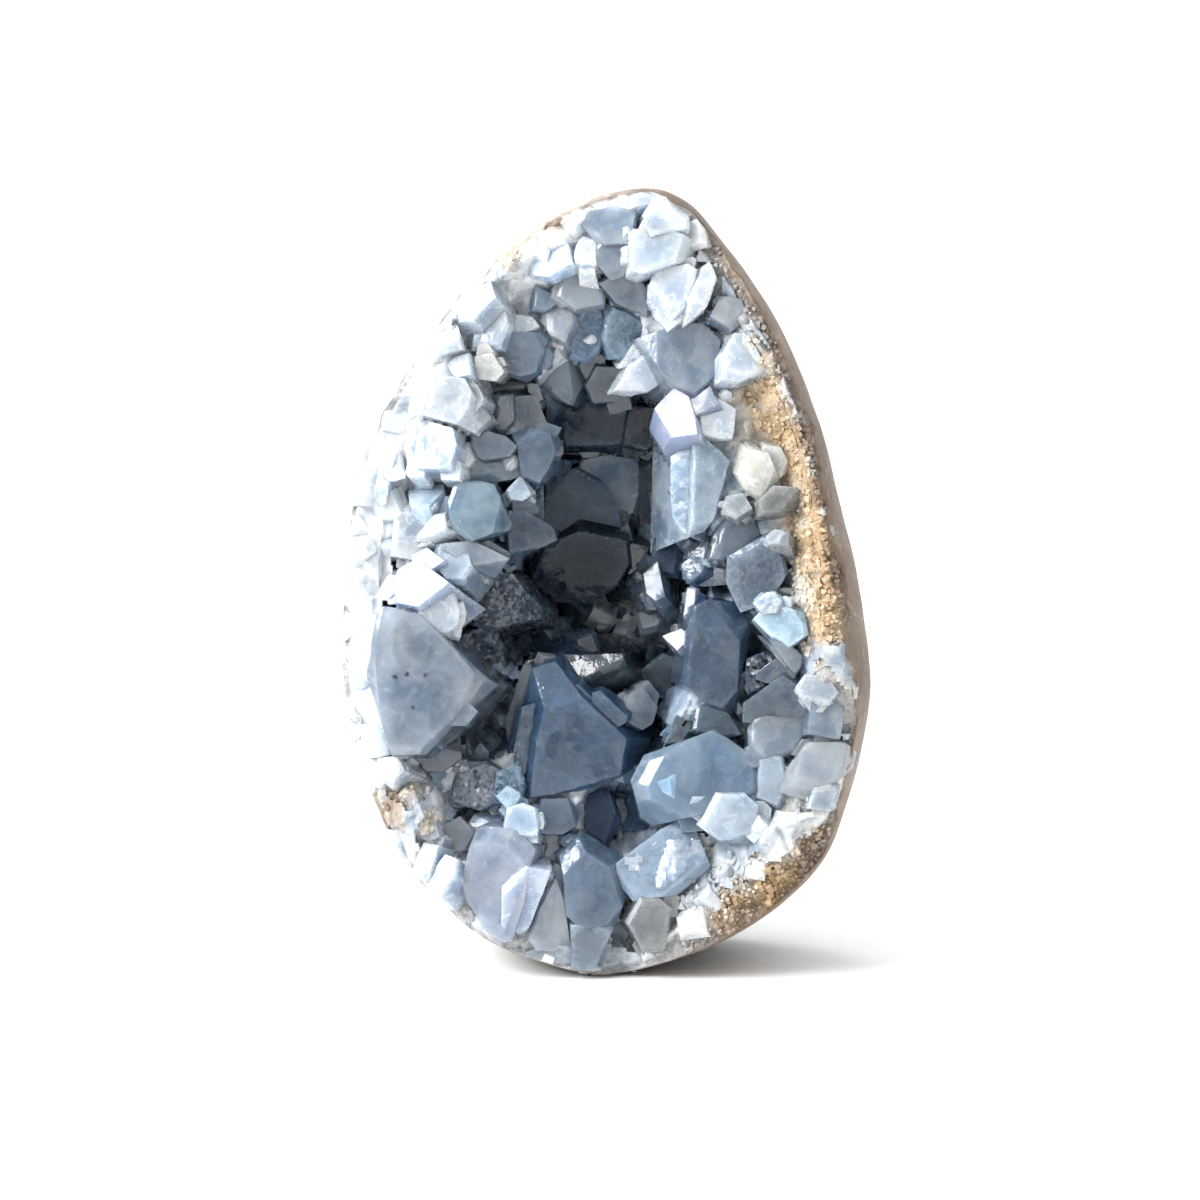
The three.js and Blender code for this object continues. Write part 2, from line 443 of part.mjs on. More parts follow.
function middleCrystals() {
  return [
    // the big crystal in the middle, with its roof faces
    crystal(-5.5, 2, -5, 18, [[-11.8, 27.6], [-11, 34.4], [-9.2, 41], [-2, 43.2], [2.6, 40.6],
      [6.1, 37.4], [4.8, 32.2], [1, 30], [-3.8, 28.6]],
        [[0, 62, 2], [1, 45, 3], [2, 28, 6], [3, 30, 3], [4, 40, 1.5], [5, 70, 1]]),
    crystal(-0.5, -16, 22, 14, [[-12.6, 43], [-12.4, 48.2], [-8, 49.2], [2.6, 49.4], [3, 46.5], [-2, 45],
      [-8, 42]]),
    crystal(-2, -50, 4, 12, [[-15.4, 39], [-12.6, 47.8], [-10, 46], [-9.2, 41], [-11, 34], [-11.8, 28],
      [-14.4, 29.4]]),
    crystal(-1.5, 20, 8, 12, [[3, 43], [5.6, 44.4], [8, 41.2], [7.2, 38.6], [5.6, 37.6], [3, 39]]),
    // tall rounded crystal right of it
    crystal(-8.5, 2, -1, 17, [[12, 44.4], [12.6, 50], [13.4, 56.6], [15, 57.5], [17.6, 57.1],
      [19.6, 54.6], [20.6, 51], [20.4, 46], [19, 40], [15.6, 41.4]],
      [[0, 50], [1, 45], [4, 50], [5, 42], [6, 45]]),
    crystal(-6, -30, 24, 10, [[11.2, 53], [12.2, 59.4], [14.3, 59.1], [15.2, 57.8], [13.2, 56.2],
      [12.7, 51.6]]),
    crystal(-5, -24, 22, 10, [[8.4, 52], [11.3, 53.3], [12.9, 51.8], [10.6, 49.8]]),
    crystal(-8, 6, 10, 12, [[12.8, 38], [13.4, 41.2], [16, 42], [19.2, 40], [20.8, 37.4], [16.6, 36.6]]),
    crystal(-6.5, -10, 10, 10, [[8.4, 35.8], [10.5, 39], [13.4, 37.6], [12, 36]]),
    crystal(-3.5, -34, 8, 12, [[11.3, 60.8], [11.4, 62.8], [14.6, 66.6], [15.4, 66.2], [14.4, 61.5],
      [12.2, 59.8]]),
    crystal(-2, 4, -22, 12, [[12.2, 60.2], [14, 63], [18, 62], [18.4, 59.6], [14.5, 59.2]]),
    crystal(-7, 6, 6, 14, [[15.6, 63.6], [16.2, 67.8], [19, 70.5], [22.8, 70], [23.8, 67.2], [20.4, 65],
      [18, 63.4]]),
    crystal(-9.5, -4, -4, 14, [[17.8, 60], [18, 63.8], [22.6, 66.4], [25.9, 65.8], [27, 61.5],
      [25.4, 58.4], [22, 56.2], [20, 55.4]], [[2, 45]]),
    // pale blue crystal with an upright ridge
    crystal(-8, 16, 2, 17, [[12.6, 66.8], [12.8, 74], [12.4, 81.4], [15.2, 81.6], [17.3, 79.6],
      [18.9, 77.8], [18, 74.6], [17.2, 71], [15, 67.7]], [[0, 42], [1, 42], [5, 50]]),
    crystal(-7, -26, 2, 15, [[9.6, 70.2], [9.6, 79.8], [12.6, 81.6], [13.4, 74], [12.8, 66.6],
      [11.2, 67.6]]),
    // bright hexagonal faces above it
    crystal(-9, -20, 22, 13, [[7.2, 86.1], [10.2, 89.3], [12.9, 87.4], [13.2, 85], [14.1, 82],
      [9.8, 81.5]], [[5, 55]]),
    crystal(-9, -18, 20, 12, [[12.4, 87.2], [15.5, 89.3], [16.8, 86.5], [13.1, 84.8]]),
    crystal(-8, 10, -12, 13, [[14, 84.8], [16.8, 87.4], [19.6, 86], [19, 81], [14.4, 81]]),
    crystal(-10, 6, -10, 12, [[19.6, 75.8], [20.8, 79.8], [24.2, 79.2], [25.4, 76.4], [24, 73],
      [22.4, 72.2], [20.8, 73.6]], [[3, 50]]),
    crystal(-9.5, -8, 12, 10, [[17, 70.6], [17.8, 73], [20.4, 73.4], [21.8, 71], [19.2, 69.4]]),
    crystal(-11.5, 8, 4, 10, [[22.6, 72], [25, 74.4], [28.4, 74.2], [29.4, 72], [27, 70.1], [23, 70]]),
    crystal(-12.5, -14, 18, 10, [[23, 66.4], [25, 68], [27, 67.4], [26.7, 65.7], [24, 65.5]]),
  ];
}

function rightCrystals() {
  return [
    crystal(-12.5, -16, 18, 11, [[21.6, 57], [23.8, 58.7], [26, 58.2], [25.8, 55.6], [23, 55.2]]),
    crystal(-13, -6, 4, 12, [[21.6, 54.6], [24, 57], [29.2, 55.7], [29.8, 52.4], [27, 50.3],
      [24.3, 51.8]], [[4, 50, 1.4]]),
    crystal(-12.5, 4, -8, 11, [[24, 51.6], [27, 51], [30, 48.5], [28.2, 46], [26.6, 47.8]]),
    crystal(-8, -4, 6, 13, [[20.6, 44.2], [20.9, 48.6], [24, 50], [27.2, 47.2], [24.8, 44],
      [21.8, 42]]),
    crystal(-10.5, -10, -4, 14, [[20.2, 38.6], [20.3, 42], [26.8, 46.8], [29.6, 45.8], [30.4, 41],
      [26, 37.6]]),
    crystal(-11, -8, 14, 14, [[20.8, 34.2], [21, 39.4], [26, 41], [30.8, 41.2], [30, 37.6], [28, 35],
      [24, 33.8]]),
    crystal(-14.6, -12, 14, 14, [[27.6, 44.2], [29.2, 46.6], [32.6, 46.2], [34.2, 43.8], [32.6, 42],
      [29.4, 41.8]]),
    crystal(-14.5, 6, 2, 11, [[29.6, 37.6], [30.2, 43.2], [34.4, 42.8], [35.8, 40], [34.6, 36.8]]),
    crystal(-14, 0, 4, 12, [[26, 31.4], [28, 34.2], [31, 36.7], [34.4, 37.2], [37, 35], [36.4, 32.6],
      [34, 30.6], [30.5, 30]], [[6, 40], [7, 45], [1, 50]]),
    crystal(-14, 4, -4, 9, [[29.6, 26.6], [30.5, 30], [35.6, 30.8], [36.2, 27.4], [33, 26.2]]),
    // large pale crystal low on the right
    crystal(-10.5, -3, 5, 17, [[6, 30.4], [7.6, 33.5], [12, 36.7], [15.5, 38], [18.2, 36.8], [22.2, 34],
      [22.6, 29], [18, 26], [10.5, 24.8], [7, 26.8]], [[0, 45], [1, 55], [8, 45], [9, 40], [3, 50]]),
    crystal(-11.5, 6, -8, 14, [[13.6, 23.8], [16.4, 28.6], [20.6, 28.8], [22.6, 27], [22.4, 22.4],
      [17, 21.3]]),
    crystal(-11, -6, -6, 12, [[22, 27.6], [22.6, 33.6], [26, 34.6], [27.2, 30], [26, 26]]),
    crystal(-8.5, -8, 12, 12, [[0.2, 17], [2.8, 20.6], [8, 23.2], [10.3, 25], [13.4, 23.2], [15.5, 18],
      [10, 13.5], [4, 12.6]]),
  ];
}

function bottomCrystals() {
  return [
    crystal(-5.5, -6, 6, 12, [[-25, 23.4], [-22, 25], [-19.6, 22.6], [-21.4, 19.8], [-23, 19.4],
      [-24.8, 21.4]], [[2, 50]]),
    crystal(-8.5, -6, 8, 12, [[-15.4, 23.4], [-14.9, 26.4], [-12.5, 27.2], [-10.2, 26.4], [-9.9, 24.2],
      [-10.3, 22], [-14, 21.9]]),
    crystal(-7, -8, 16, 11, [[-16.6, 28], [-14.9, 29.7], [-12.8, 28.8], [-12.6, 27], [-14.9, 26.2]]),
    crystal(-6.5, 8, 4, 13, [[-10.2, 24.8], [-9.6, 27.6], [-5.4, 27.7], [-3.8, 25.5], [-4.1, 23.6],
      [-6.5, 22.2], [-9.8, 22.4]]),
    crystal(-5, -10, 2, 12, [[-24, 27], [-23, 31], [-18, 33], [-15, 31.4], [-15.6, 27.4], [-19, 25.6]]),
    crystal(-6, -2, 10, 11, [[-17, 26.8], [-16.6, 31.6], [-13, 33.4], [-12, 29.6], [-12.6, 27.6]]),
    // large lavender crystal at the bottom left and the ridged one beside it
    crystal(-9.5, -12, -2, 16, [[-21.9, 15], [-20.4, 20.6], [-18.2, 21.4], [-14.6, 20.8], [-11.4, 17.4],
      [-12.2, 12], [-14, 6.8], [-16, 6], [-19.8, 9.2]], [[1, 42], [2, 35], [3, 40], [7, 50]]),
    crystal(-10, 6, -10, 14, [[-15.4, 14.6], [-12.2, 18], [-8.2, 17.2], [-9.4, 13.6], [-11.6, 8],
      [-13.6, 6.4], [-15.6, 9]], [[2, 50]]),
    crystal(-8.5, 6, -4, 14, [[-10, 12], [-9, 15], [-6.7, 16.4], [-6.2, 12.6], [-4.6, 8], [-5.2, 4.2],
      [-10, 4.4], [-12.2, 7.6]]),
    crystal(-9.5, 6, 2, 16, [[-6.4, 16.4], [-3, 19.9], [1, 17.4], [2.7, 12], [1.3, 8.2], [-3, 7.6],
      [-5.8, 10.4]], [[0, 42], [1, 55], [2, 50]]),
    crystal(-9, 4, -10, 13, [[-5.2, 8.8], [-0.6, 9.8], [1.2, 8.4], [-0.3, 5], [-1.5, 2.4], [-5.2, 1.4]]),
    crystal(-6, -8, 26, 13, [[-7.4, 21.4], [-5.4, 23], [-1, 19.6], [0.4, 17.2], [-3.2, 19], [-6, 17.6]]),
    crystal(-7.5, -8, -14, 9, [[-13.2, 4], [-9, 6.2], [-5.4, 5.6], [-2.2, 2], [-6, 1], [-10, 1.8]]),
    crystal(-9.5, 8, -4, 14, [[3, 9.4], [4.8, 12.6], [8.2, 13], [10.2, 11.3], [9.5, 8.2], [9, 4.6],
      [5.5, 5]], [[1, 50]]),
    crystal(-10, -20, 22, 11, [[-26.9, 16], [-24, 19.6], [-22, 18.9], [-22.2, 16.4], [-24.5, 13.4],
      [-26.6, 13.6]]),
    crystal(-9, -28, 20, 11, [[-29.7, 16.6], [-27.3, 21.3], [-24.8, 21], [-26.4, 16.2], [-28, 13.6]]),
    crystal(-7, -12, 10, 10, [[-28.4, 22], [-27.8, 24.6], [-25.4, 24.4], [-24.8, 22], [-26.6, 21]]),
  ];
}

// Smaller crystals that fill the wall between the large ones: x, z, size and a turn.
const FILLERS = [
  [-30, 74, 4], [-33, 69, 3.6], [22, 86, 4], [-19, 31, 4], [18, 16, 3.6],
];

function fillers() {
  return FILLERS.map(([x, z, size], i) => {
    const turn = i * 2.4;
    const corners = [];
    for (let k = 0; k < 6; k += 1) {
      const angle = turn + (k * Math.PI) / 3;
      const reach = size * (k % 3 === 0 ? 1.15 : 0.8);
      corners.push([x + reach * Math.cos(angle), z + reach * Math.sin(angle)]);
    }
    const depth = liningFront(x, z) - size * 0.55;
    return crystal(depth, 18 * Math.sin(i * 1.7), 18 * Math.cos(i * 2.9), size * 2 + 3, corners,
      [[i % 6, 45]]);
  });
}

// ---- the two pieces ----
// Half-space under the flat spot, in the upright layout.
function groundCutter() {
  const block = new THREE.BoxGeometry(160, 160, 60);
  block.translate(0, 0, -30);
  block.rotateX(LEAN_BACK);
  block.translate(0, 0, flatHeight);
  return manifoldFrom(block);
}

// The lowest point of the leaning egg, carried back to the upright layout, gives the flat spot.
function lowestPoint(solid) {
  const down = new THREE.Vector3(0, Math.sin(LEAN_BACK), -Math.cos(LEAN_BACK));
  const { vertProperties } = solid.getMesh();
  let lowest = 0;
  for (let i = 0; i < vertProperties.length; i += 3) {
    const p = new THREE.Vector3(vertProperties[i], vertProperties[i + 1], vertProperties[i + 2]);
    lowest = Math.max(lowest, p.dot(down));
  }
  return lowest;
}

const egg = eggBody(0);
const flatHeight = -(lowestPoint(egg) - FLAT_DEPTH) / Math.cos(LEAN_BACK);
const ground = groundCutter();

function rockSolid() {
  return egg.subtract(frontOf(rockFront, GRID)).subtract(ground);
}

function crustSolid() {
  const lining = frontOf(() => 50, 46).subtract(frontOf(liningFront, LINING_GRID));
  const grown = unite([
    ...tipCrystals(), ...upperCrystals(), ...leftCrystals(), ...deepCrystals(),
    ...middleCrystals(), ...rightCrystals(), ...bottomCrystals(), ...fillers(),
  ]);
  return grown.add(lining).intersect(frontOf(crustBack, GRID)).intersect(eggBody(0.35)).subtract(ground);
}

const hostRockStone = () => new THREE.MeshStandardMaterial({ color: 0xb9ab98, roughness: 0.6 });
const celestite = () => new THREE.MeshStandardMaterial({ color: 0x8fa6ba, roughness: 0.25 });

function named(name, solid, material) {
  const mesh = new THREE.Mesh(geometryOf(solid), material);
  mesh.name = name;
  return mesh;
}

const geode = new THREE.Group();
geode.add(named("host_rock", rockSolid(), hostRockStone()));
geode.add(named("crystal_crust", crustSolid(), celestite()));
geode.rotation.x = -LEAN_BACK;
geode.position.set(0, -FLAT_MIDDLE, -flatHeight * Math.cos(LEAN_BACK));

export default geode;
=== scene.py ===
"""Celestite geode: an egg of host rock, open in front on a hollow lined with celestite crystals.

The stone is laid out as the CAD part is, in millimetres, with x to the right, z up along the egg and
y going back from its widest outline. placed() leans it back 5 degrees, stands it with its flat spot
at the origin and turns the millimetres into metres.
"""

import itertools
import math

import bmesh
import bpy
import numpy as np
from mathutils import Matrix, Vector

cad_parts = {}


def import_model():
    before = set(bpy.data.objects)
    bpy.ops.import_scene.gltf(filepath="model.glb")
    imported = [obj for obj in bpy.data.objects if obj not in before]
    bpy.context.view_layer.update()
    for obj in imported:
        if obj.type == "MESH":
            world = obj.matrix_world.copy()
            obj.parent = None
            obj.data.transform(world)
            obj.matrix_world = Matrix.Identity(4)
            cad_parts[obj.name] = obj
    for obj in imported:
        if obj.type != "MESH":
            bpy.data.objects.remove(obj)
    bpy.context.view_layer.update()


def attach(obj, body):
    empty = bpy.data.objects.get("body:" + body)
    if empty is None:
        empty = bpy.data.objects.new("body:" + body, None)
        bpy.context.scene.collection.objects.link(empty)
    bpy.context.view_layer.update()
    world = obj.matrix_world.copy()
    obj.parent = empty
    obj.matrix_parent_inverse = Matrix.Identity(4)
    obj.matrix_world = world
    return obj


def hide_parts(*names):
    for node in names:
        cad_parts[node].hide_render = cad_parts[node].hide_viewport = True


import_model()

# ---- the same driving dimensions as the CAD part ----
LEAN_BACK = math.radians(5)
STAND = (0.0, -11.4, -1.33723)  # puts the middle of the flat spot at the origin
MIDDLE = (0.0, 57.0)
BACK_DEPTH, FRONT_DEPTH = 34.0, 33.0
BACK_FULLNESS, FRONT_FULLNESS = 2.1, 2.0
BASE_SETBACK, BASE_TOP = 18.0, 50  # how far the base's outline is set back, and where that ends
HOLLOW = (-1.0, 58.0, 33.0, 53.0, 31.0)  # x, z, half width, half height, depth
VOID = (-1.0, 63.0, 17.0, 33.0, 30.0)
SEAM, LINING = 0.3, 3.0
HALF_WIDTH, HEIGHT = 41, 121  # the field that small things are spread over
TABLE_STEP = 0.5  # between the points of the tables of what lies in front
NOTHING = 99.0  # the depth where no large crystal is in front
CRUST_STEP = 0.29

OUTLINE = [
    (7, 120), (12.8, 117.6), (17.6, 112.2), (22.2, 106), (26, 99.9), (29, 93.8),
    (31.4, 87.6), (33.5, 81.5), (35.6, 72.5), (37.9, 63.5), (39.6, 53), (40.4, 44),
    (39.4, 36), (37.2, 27), (33.6, 18), (28, 11.7), (18.6, 5.4), (9, 1.7),
    (-1, 0), (-10, 1.9), (-18.4, 5.4), (-25.9, 11.5), (-31.3, 18), (-35.8, 27),
    (-38.7, 36), (-40.2, 47), (-39.9, 58), (-38.6, 72), (-36.4, 81), (-33, 88),
    (-30, 93), (-26.4, 98.8), (-21.6, 105), (-16, 110.2), (-10, 114.8), (-3, 118.2),
]

# Rounded lumps and pits of the broken rim: x, z, radius, height.
LUMPS = [
    (20.5, 106.5, 5, 1.6), (24.5, 97, 6, 1.8), (27.5, 88, 5, 1.5), (20.5, 93, 5, 2.4),
    (29, 78, 5, 1.4), (31, 66, 5, 2), (30, 58, 6, 2.2), (33, 50, 5, 1.8),
    (33, 43, 5, 1.6), (34, 30, 4, 1.5), (28, 24, 6, 1.8), (20, 19, 7, 2),
    (10, 19, 9, 3), (27, 15.5, 5, 1.2), (15, 10, 5, 1.4), (-33, 28, 5, 2.2),
    (-28, 26, 4, 2.4), (-29, 21, 4, 1.4), (-10, 108, 6, 2.4), (-17, 105, 5, 1.8),
    (-24, 98, 5, 1.6), (-34, 76, 5, 1.5), (-36, 62, 4, 1.3), (-37, 50, 4, 1.4),
    (17, 103, 4, -1.6), (26, 82, 4, -1.5), (34.5, 58, 3.4, -1.4), (24, 28, 4, -1.6),
    (2, 5, 4, -3.5), (-20, 24, 4, -2), (31, 22, 3.4, -1.2), (-30, 84, 4, -1.5),
]

# Dark pockets between the large crystals: x, z, radius, depth.
POCKETS = [
    (-19, 40, 7, 14), (3, 25, 7, 9), (-20, 23.6, 3, 5), (9, 50, 6, 12), (23, 50, 4, 8),
    (6, 36, 4, 8), (2, 6, 3.5, 5), (-18, 53, 7, 9), (10, 68, 5, 8), (17, 60, 3, 5),
    (-14, 71, 4, 6), (2, 90, 7, 6), (-15, 89, 5, 5), (28, 29.5, 3, 4), (23, 60, 7, 4), (24, 40, 7, 4),
]

# Colours of the crystals, as linear reflectance. The darkest, such as navy, deep, dusk and night, are partly
# the deeper blue of thick crystal and partly painted shade for crystals in the shade of the hollow; glare is
# a painted reflection, a pale tint for faces that catch the window.
TINTS = {
    "white": (0.68, 0.74, 0.82), "pale": (0.46, 0.54, 0.63), "ice": (0.30, 0.42, 0.55),
    "lav": (0.36, 0.43, 0.60), "grey": (0.31, 0.38, 0.46), "steel": (0.21, 0.29, 0.39),
    "blue": (0.075, 0.165, 0.30), "slate": (0.095, 0.155, 0.235), "navy": (0.045, 0.09, 0.18),
    "deep": (0.03, 0.07, 0.125), "teal": (0.085, 0.145, 0.20),
    "mint": (0.34, 0.46, 0.55), "taupe": (0.14, 0.19, 0.25), "olive": (0.20, 0.19, 0.17),
    "beige": (0.29, 0.31, 0.32), "brown": (0.055, 0.075, 0.10), "cream": (0.58, 0.57, 0.52),
    "druse": (0.075, 0.09, 0.115), "dusk": (0.07, 0.11, 0.15), "night": (0.005, 0.016, 0.034),
    "glare": (0.58, 0.60, 0.72),
}

# The large crystals, as in the CAD part: tint, kind, depth of the middle of the main face, its turn
# to the right and up, thickness, the corners of the main face in x and z, and the bevelled edges.
TIP = [
    ("white", "milky", -8, -10, 30, 9,
     [(-3, 117), (2, 119.8), (8, 120), (7.5, 117), (4.5, 115), (-1, 115.5)]),
    ("ice", "clear", -10, -8, 12, 12,
     [(-4, 113.5), (-1.5, 117), (4.5, 115.2), (3.4, 110.3), (-1, 110.2)]),
    ("pale", "clear", -9.5, 4, -8, 14,
     [(-1.2, 110.5), (3.5, 110.5), (3.5, 105.8), (0.8, 104.8), (-1.6, 107.5)]),
    ("pale", "milky", -11, 8, 22, 14,
     [(5, 113), (7.6, 117.6), (12.4, 117.5), (12.5, 112.6), (6.5, 111.2)]),
    ("pale", "milky", -12, 6, 4, 15,
     [(3.6, 106), (3.5, 112), (6.5, 113), (11.9, 111.5), (11, 107.5), (5.2, 105.5)], [(3, 50)]),
    ("white", "milky", -10.5, -12, 2, 15,
     [(6.3, 104.4), (7, 106.5), (12, 107.4), (13.4, 106.5), (12.5, 101.5), (10.2, 99.8)], [(5, 55)]),
    ("white", "milky", -11, 18, 12, 12,
     [(12.4, 102.2), (14.3, 107), (15.6, 108), (16.6, 105), (15.2, 101), (13.2, 99.6)]),
    ("pale", "clear", -10, 5, 5, 10,
     [(15.4, 99.6), (17, 102.8), (20.2, 102.2), (21.2, 99.4), (18.8, 97.6)]),
    ("white", "milky", -9, -6, 20, 9,
     [(-5, 109.5), (-3.6, 112), (-1.4, 111), (-1.4, 107.4), (-4.6, 107.4)]),
    ("steel", "sugar", -8.5, -20, 10, 9,
     [(-12, 106), (-10.5, 111.5), (-6, 112), (-5, 107.5), (-8.5, 105.5)]),
    ("white", "milky", -10, 12, 10, 12,
     [(17.5, 90.5), (17.3, 94), (19, 97.2), (22, 97), (24.4, 94.6), (23.8, 91.4), (20, 90)]),
]

UPPER = [
    ("taupe", "clear", -7, 14, -12, 15,
     [(-0.8, 104.5), (1, 105.8), (6.8, 106), (6.6, 104), (8.8, 101), (7.4, 99.4), (1.5, 101.6)]),
    ("dusk", "glinting", -4.5, 10, -10, 14,
     [(0.2, 101.8), (2, 101.2), (7, 98.2), (6.5, 93.6), (0.5, 93.4), (-0.5, 96.5)], [(1, 40)]),
    ("deep", "glinting", -3.5, 4, -8, 12,
     [(-5.6, 97), (-4.4, 100), (-0.4, 101.8), (0.4, 98), (-0.8, 94.6), (-3, 93), (-5.6, 93.6)]),
    ("pale", "clear", -7.5, 10, 2, 16,
     [(7.2, 97.4), (11, 98.8), (14.6, 99), (17.2, 96.4), (16.8, 91), (13, 87.5), (9.6, 89.4), (7.2, 93)],
     [(7, 45)]),
    ("white", "milky", -3.5, 6, -24, 12,
     [(0.6, 87.8), (3.4, 92.2), (6.6, 95), (9.1, 92), (9, 90.6), (5.5, 88.2), (3, 87.4)], [(4, 60)]),
    ("dusk", "clear", -0.5, 0, -18, 13,
     [(-3.4, 89.8), (-1.6, 92.8), (2.6, 92.6), (4, 88.2), (0.6, 87), (-2.2, 86.8)]),
    ("grey", "clear", 0, -8, -5, 13,
     [(-9.2, 93.4), (-8, 96.8), (-5.4, 94.4), (-4.6, 88.2), (-5.2, 86.9), (-7.4, 87.8), (-10.8, 90.2)],
     [(2, 55)]),
    ("white", "clear", -5.5, -12, 16, 13,
     [(-10, 99.6), (-9.8, 101.2), (-7.4, 102.6), (-4.8, 101.4), (-4.6, 99.4), (-6.3, 96.2), (-8.6,
     97.2)]),
    ("steel", "clear", -5.5, -4, -6, 15,
     [(-16.6, 95), (-15.4, 97.6), (-10.4, 97.6), (-9, 95.6), (-10, 91.2), (-12, 90), (-15, 91)], [(0,
     40), (2, 60)]),
    ("grey", "milky", -7, -18, 8, 14,
     [(-20.5, 94.8), (-20.2, 99), (-16.7, 102.6), (-15, 100.8), (-14.6, 98.6), (-16, 95)]),
    ("white", "milky", -5, 4, 14, 12,
     [(-14.8, 100.6), (-11, 100), (-9.2, 97.6), (-12.5, 97), (-15.4, 97.6)]),
    ("ice", "clear", -6, 10, 4, 12,
     [(-10.9, 101), (-10.6, 104.8), (-8, 103.4), (-7.4, 101.8), (-9, 100.6)]),
    ("pale", "clear", -6.5, 8, 10, 14,
     [(-7.4, 103), (-6.6, 106.6), (-1.4, 107.2), (0, 104.6), (0, 101.8), (-4.4, 100.8)], [(2, 50)]),
    ("cream", "milky", -8, -6, -4, 12,
     [(-20.4, 90.4), (-19.8, 93.8), (-17, 94.4), (-15.1, 91.4), (-16.4, 90)]),
    ("beige", "milky", -9.5, -12, 8, 13,
     [(-27.6, 85), (-26.4, 88.4), (-24, 91), (-21, 90.4), (-19.4, 87.4), (-22.2, 83.4)], [(4, 50)]),
    ("grey", "milky", -8.5, -20, 24, 11,
     [(-24.2, 93.2), (-20.4, 94.4), (-20, 91), (-22.6, 90.4)]),
    ("grey", "milky", -9, -24, 22, 11,
     [(-23, 99), (-21.6, 103), (-17.2, 105), (-16.4, 102.4), (-20, 99)]),
    ("pale", "clear", -1, 3, -14, 14,
     [(-20.4, 90.2), (-15.5, 90.4), (-11, 90.4), (-10.4, 88.4), (-19.2, 87.8)]),
]

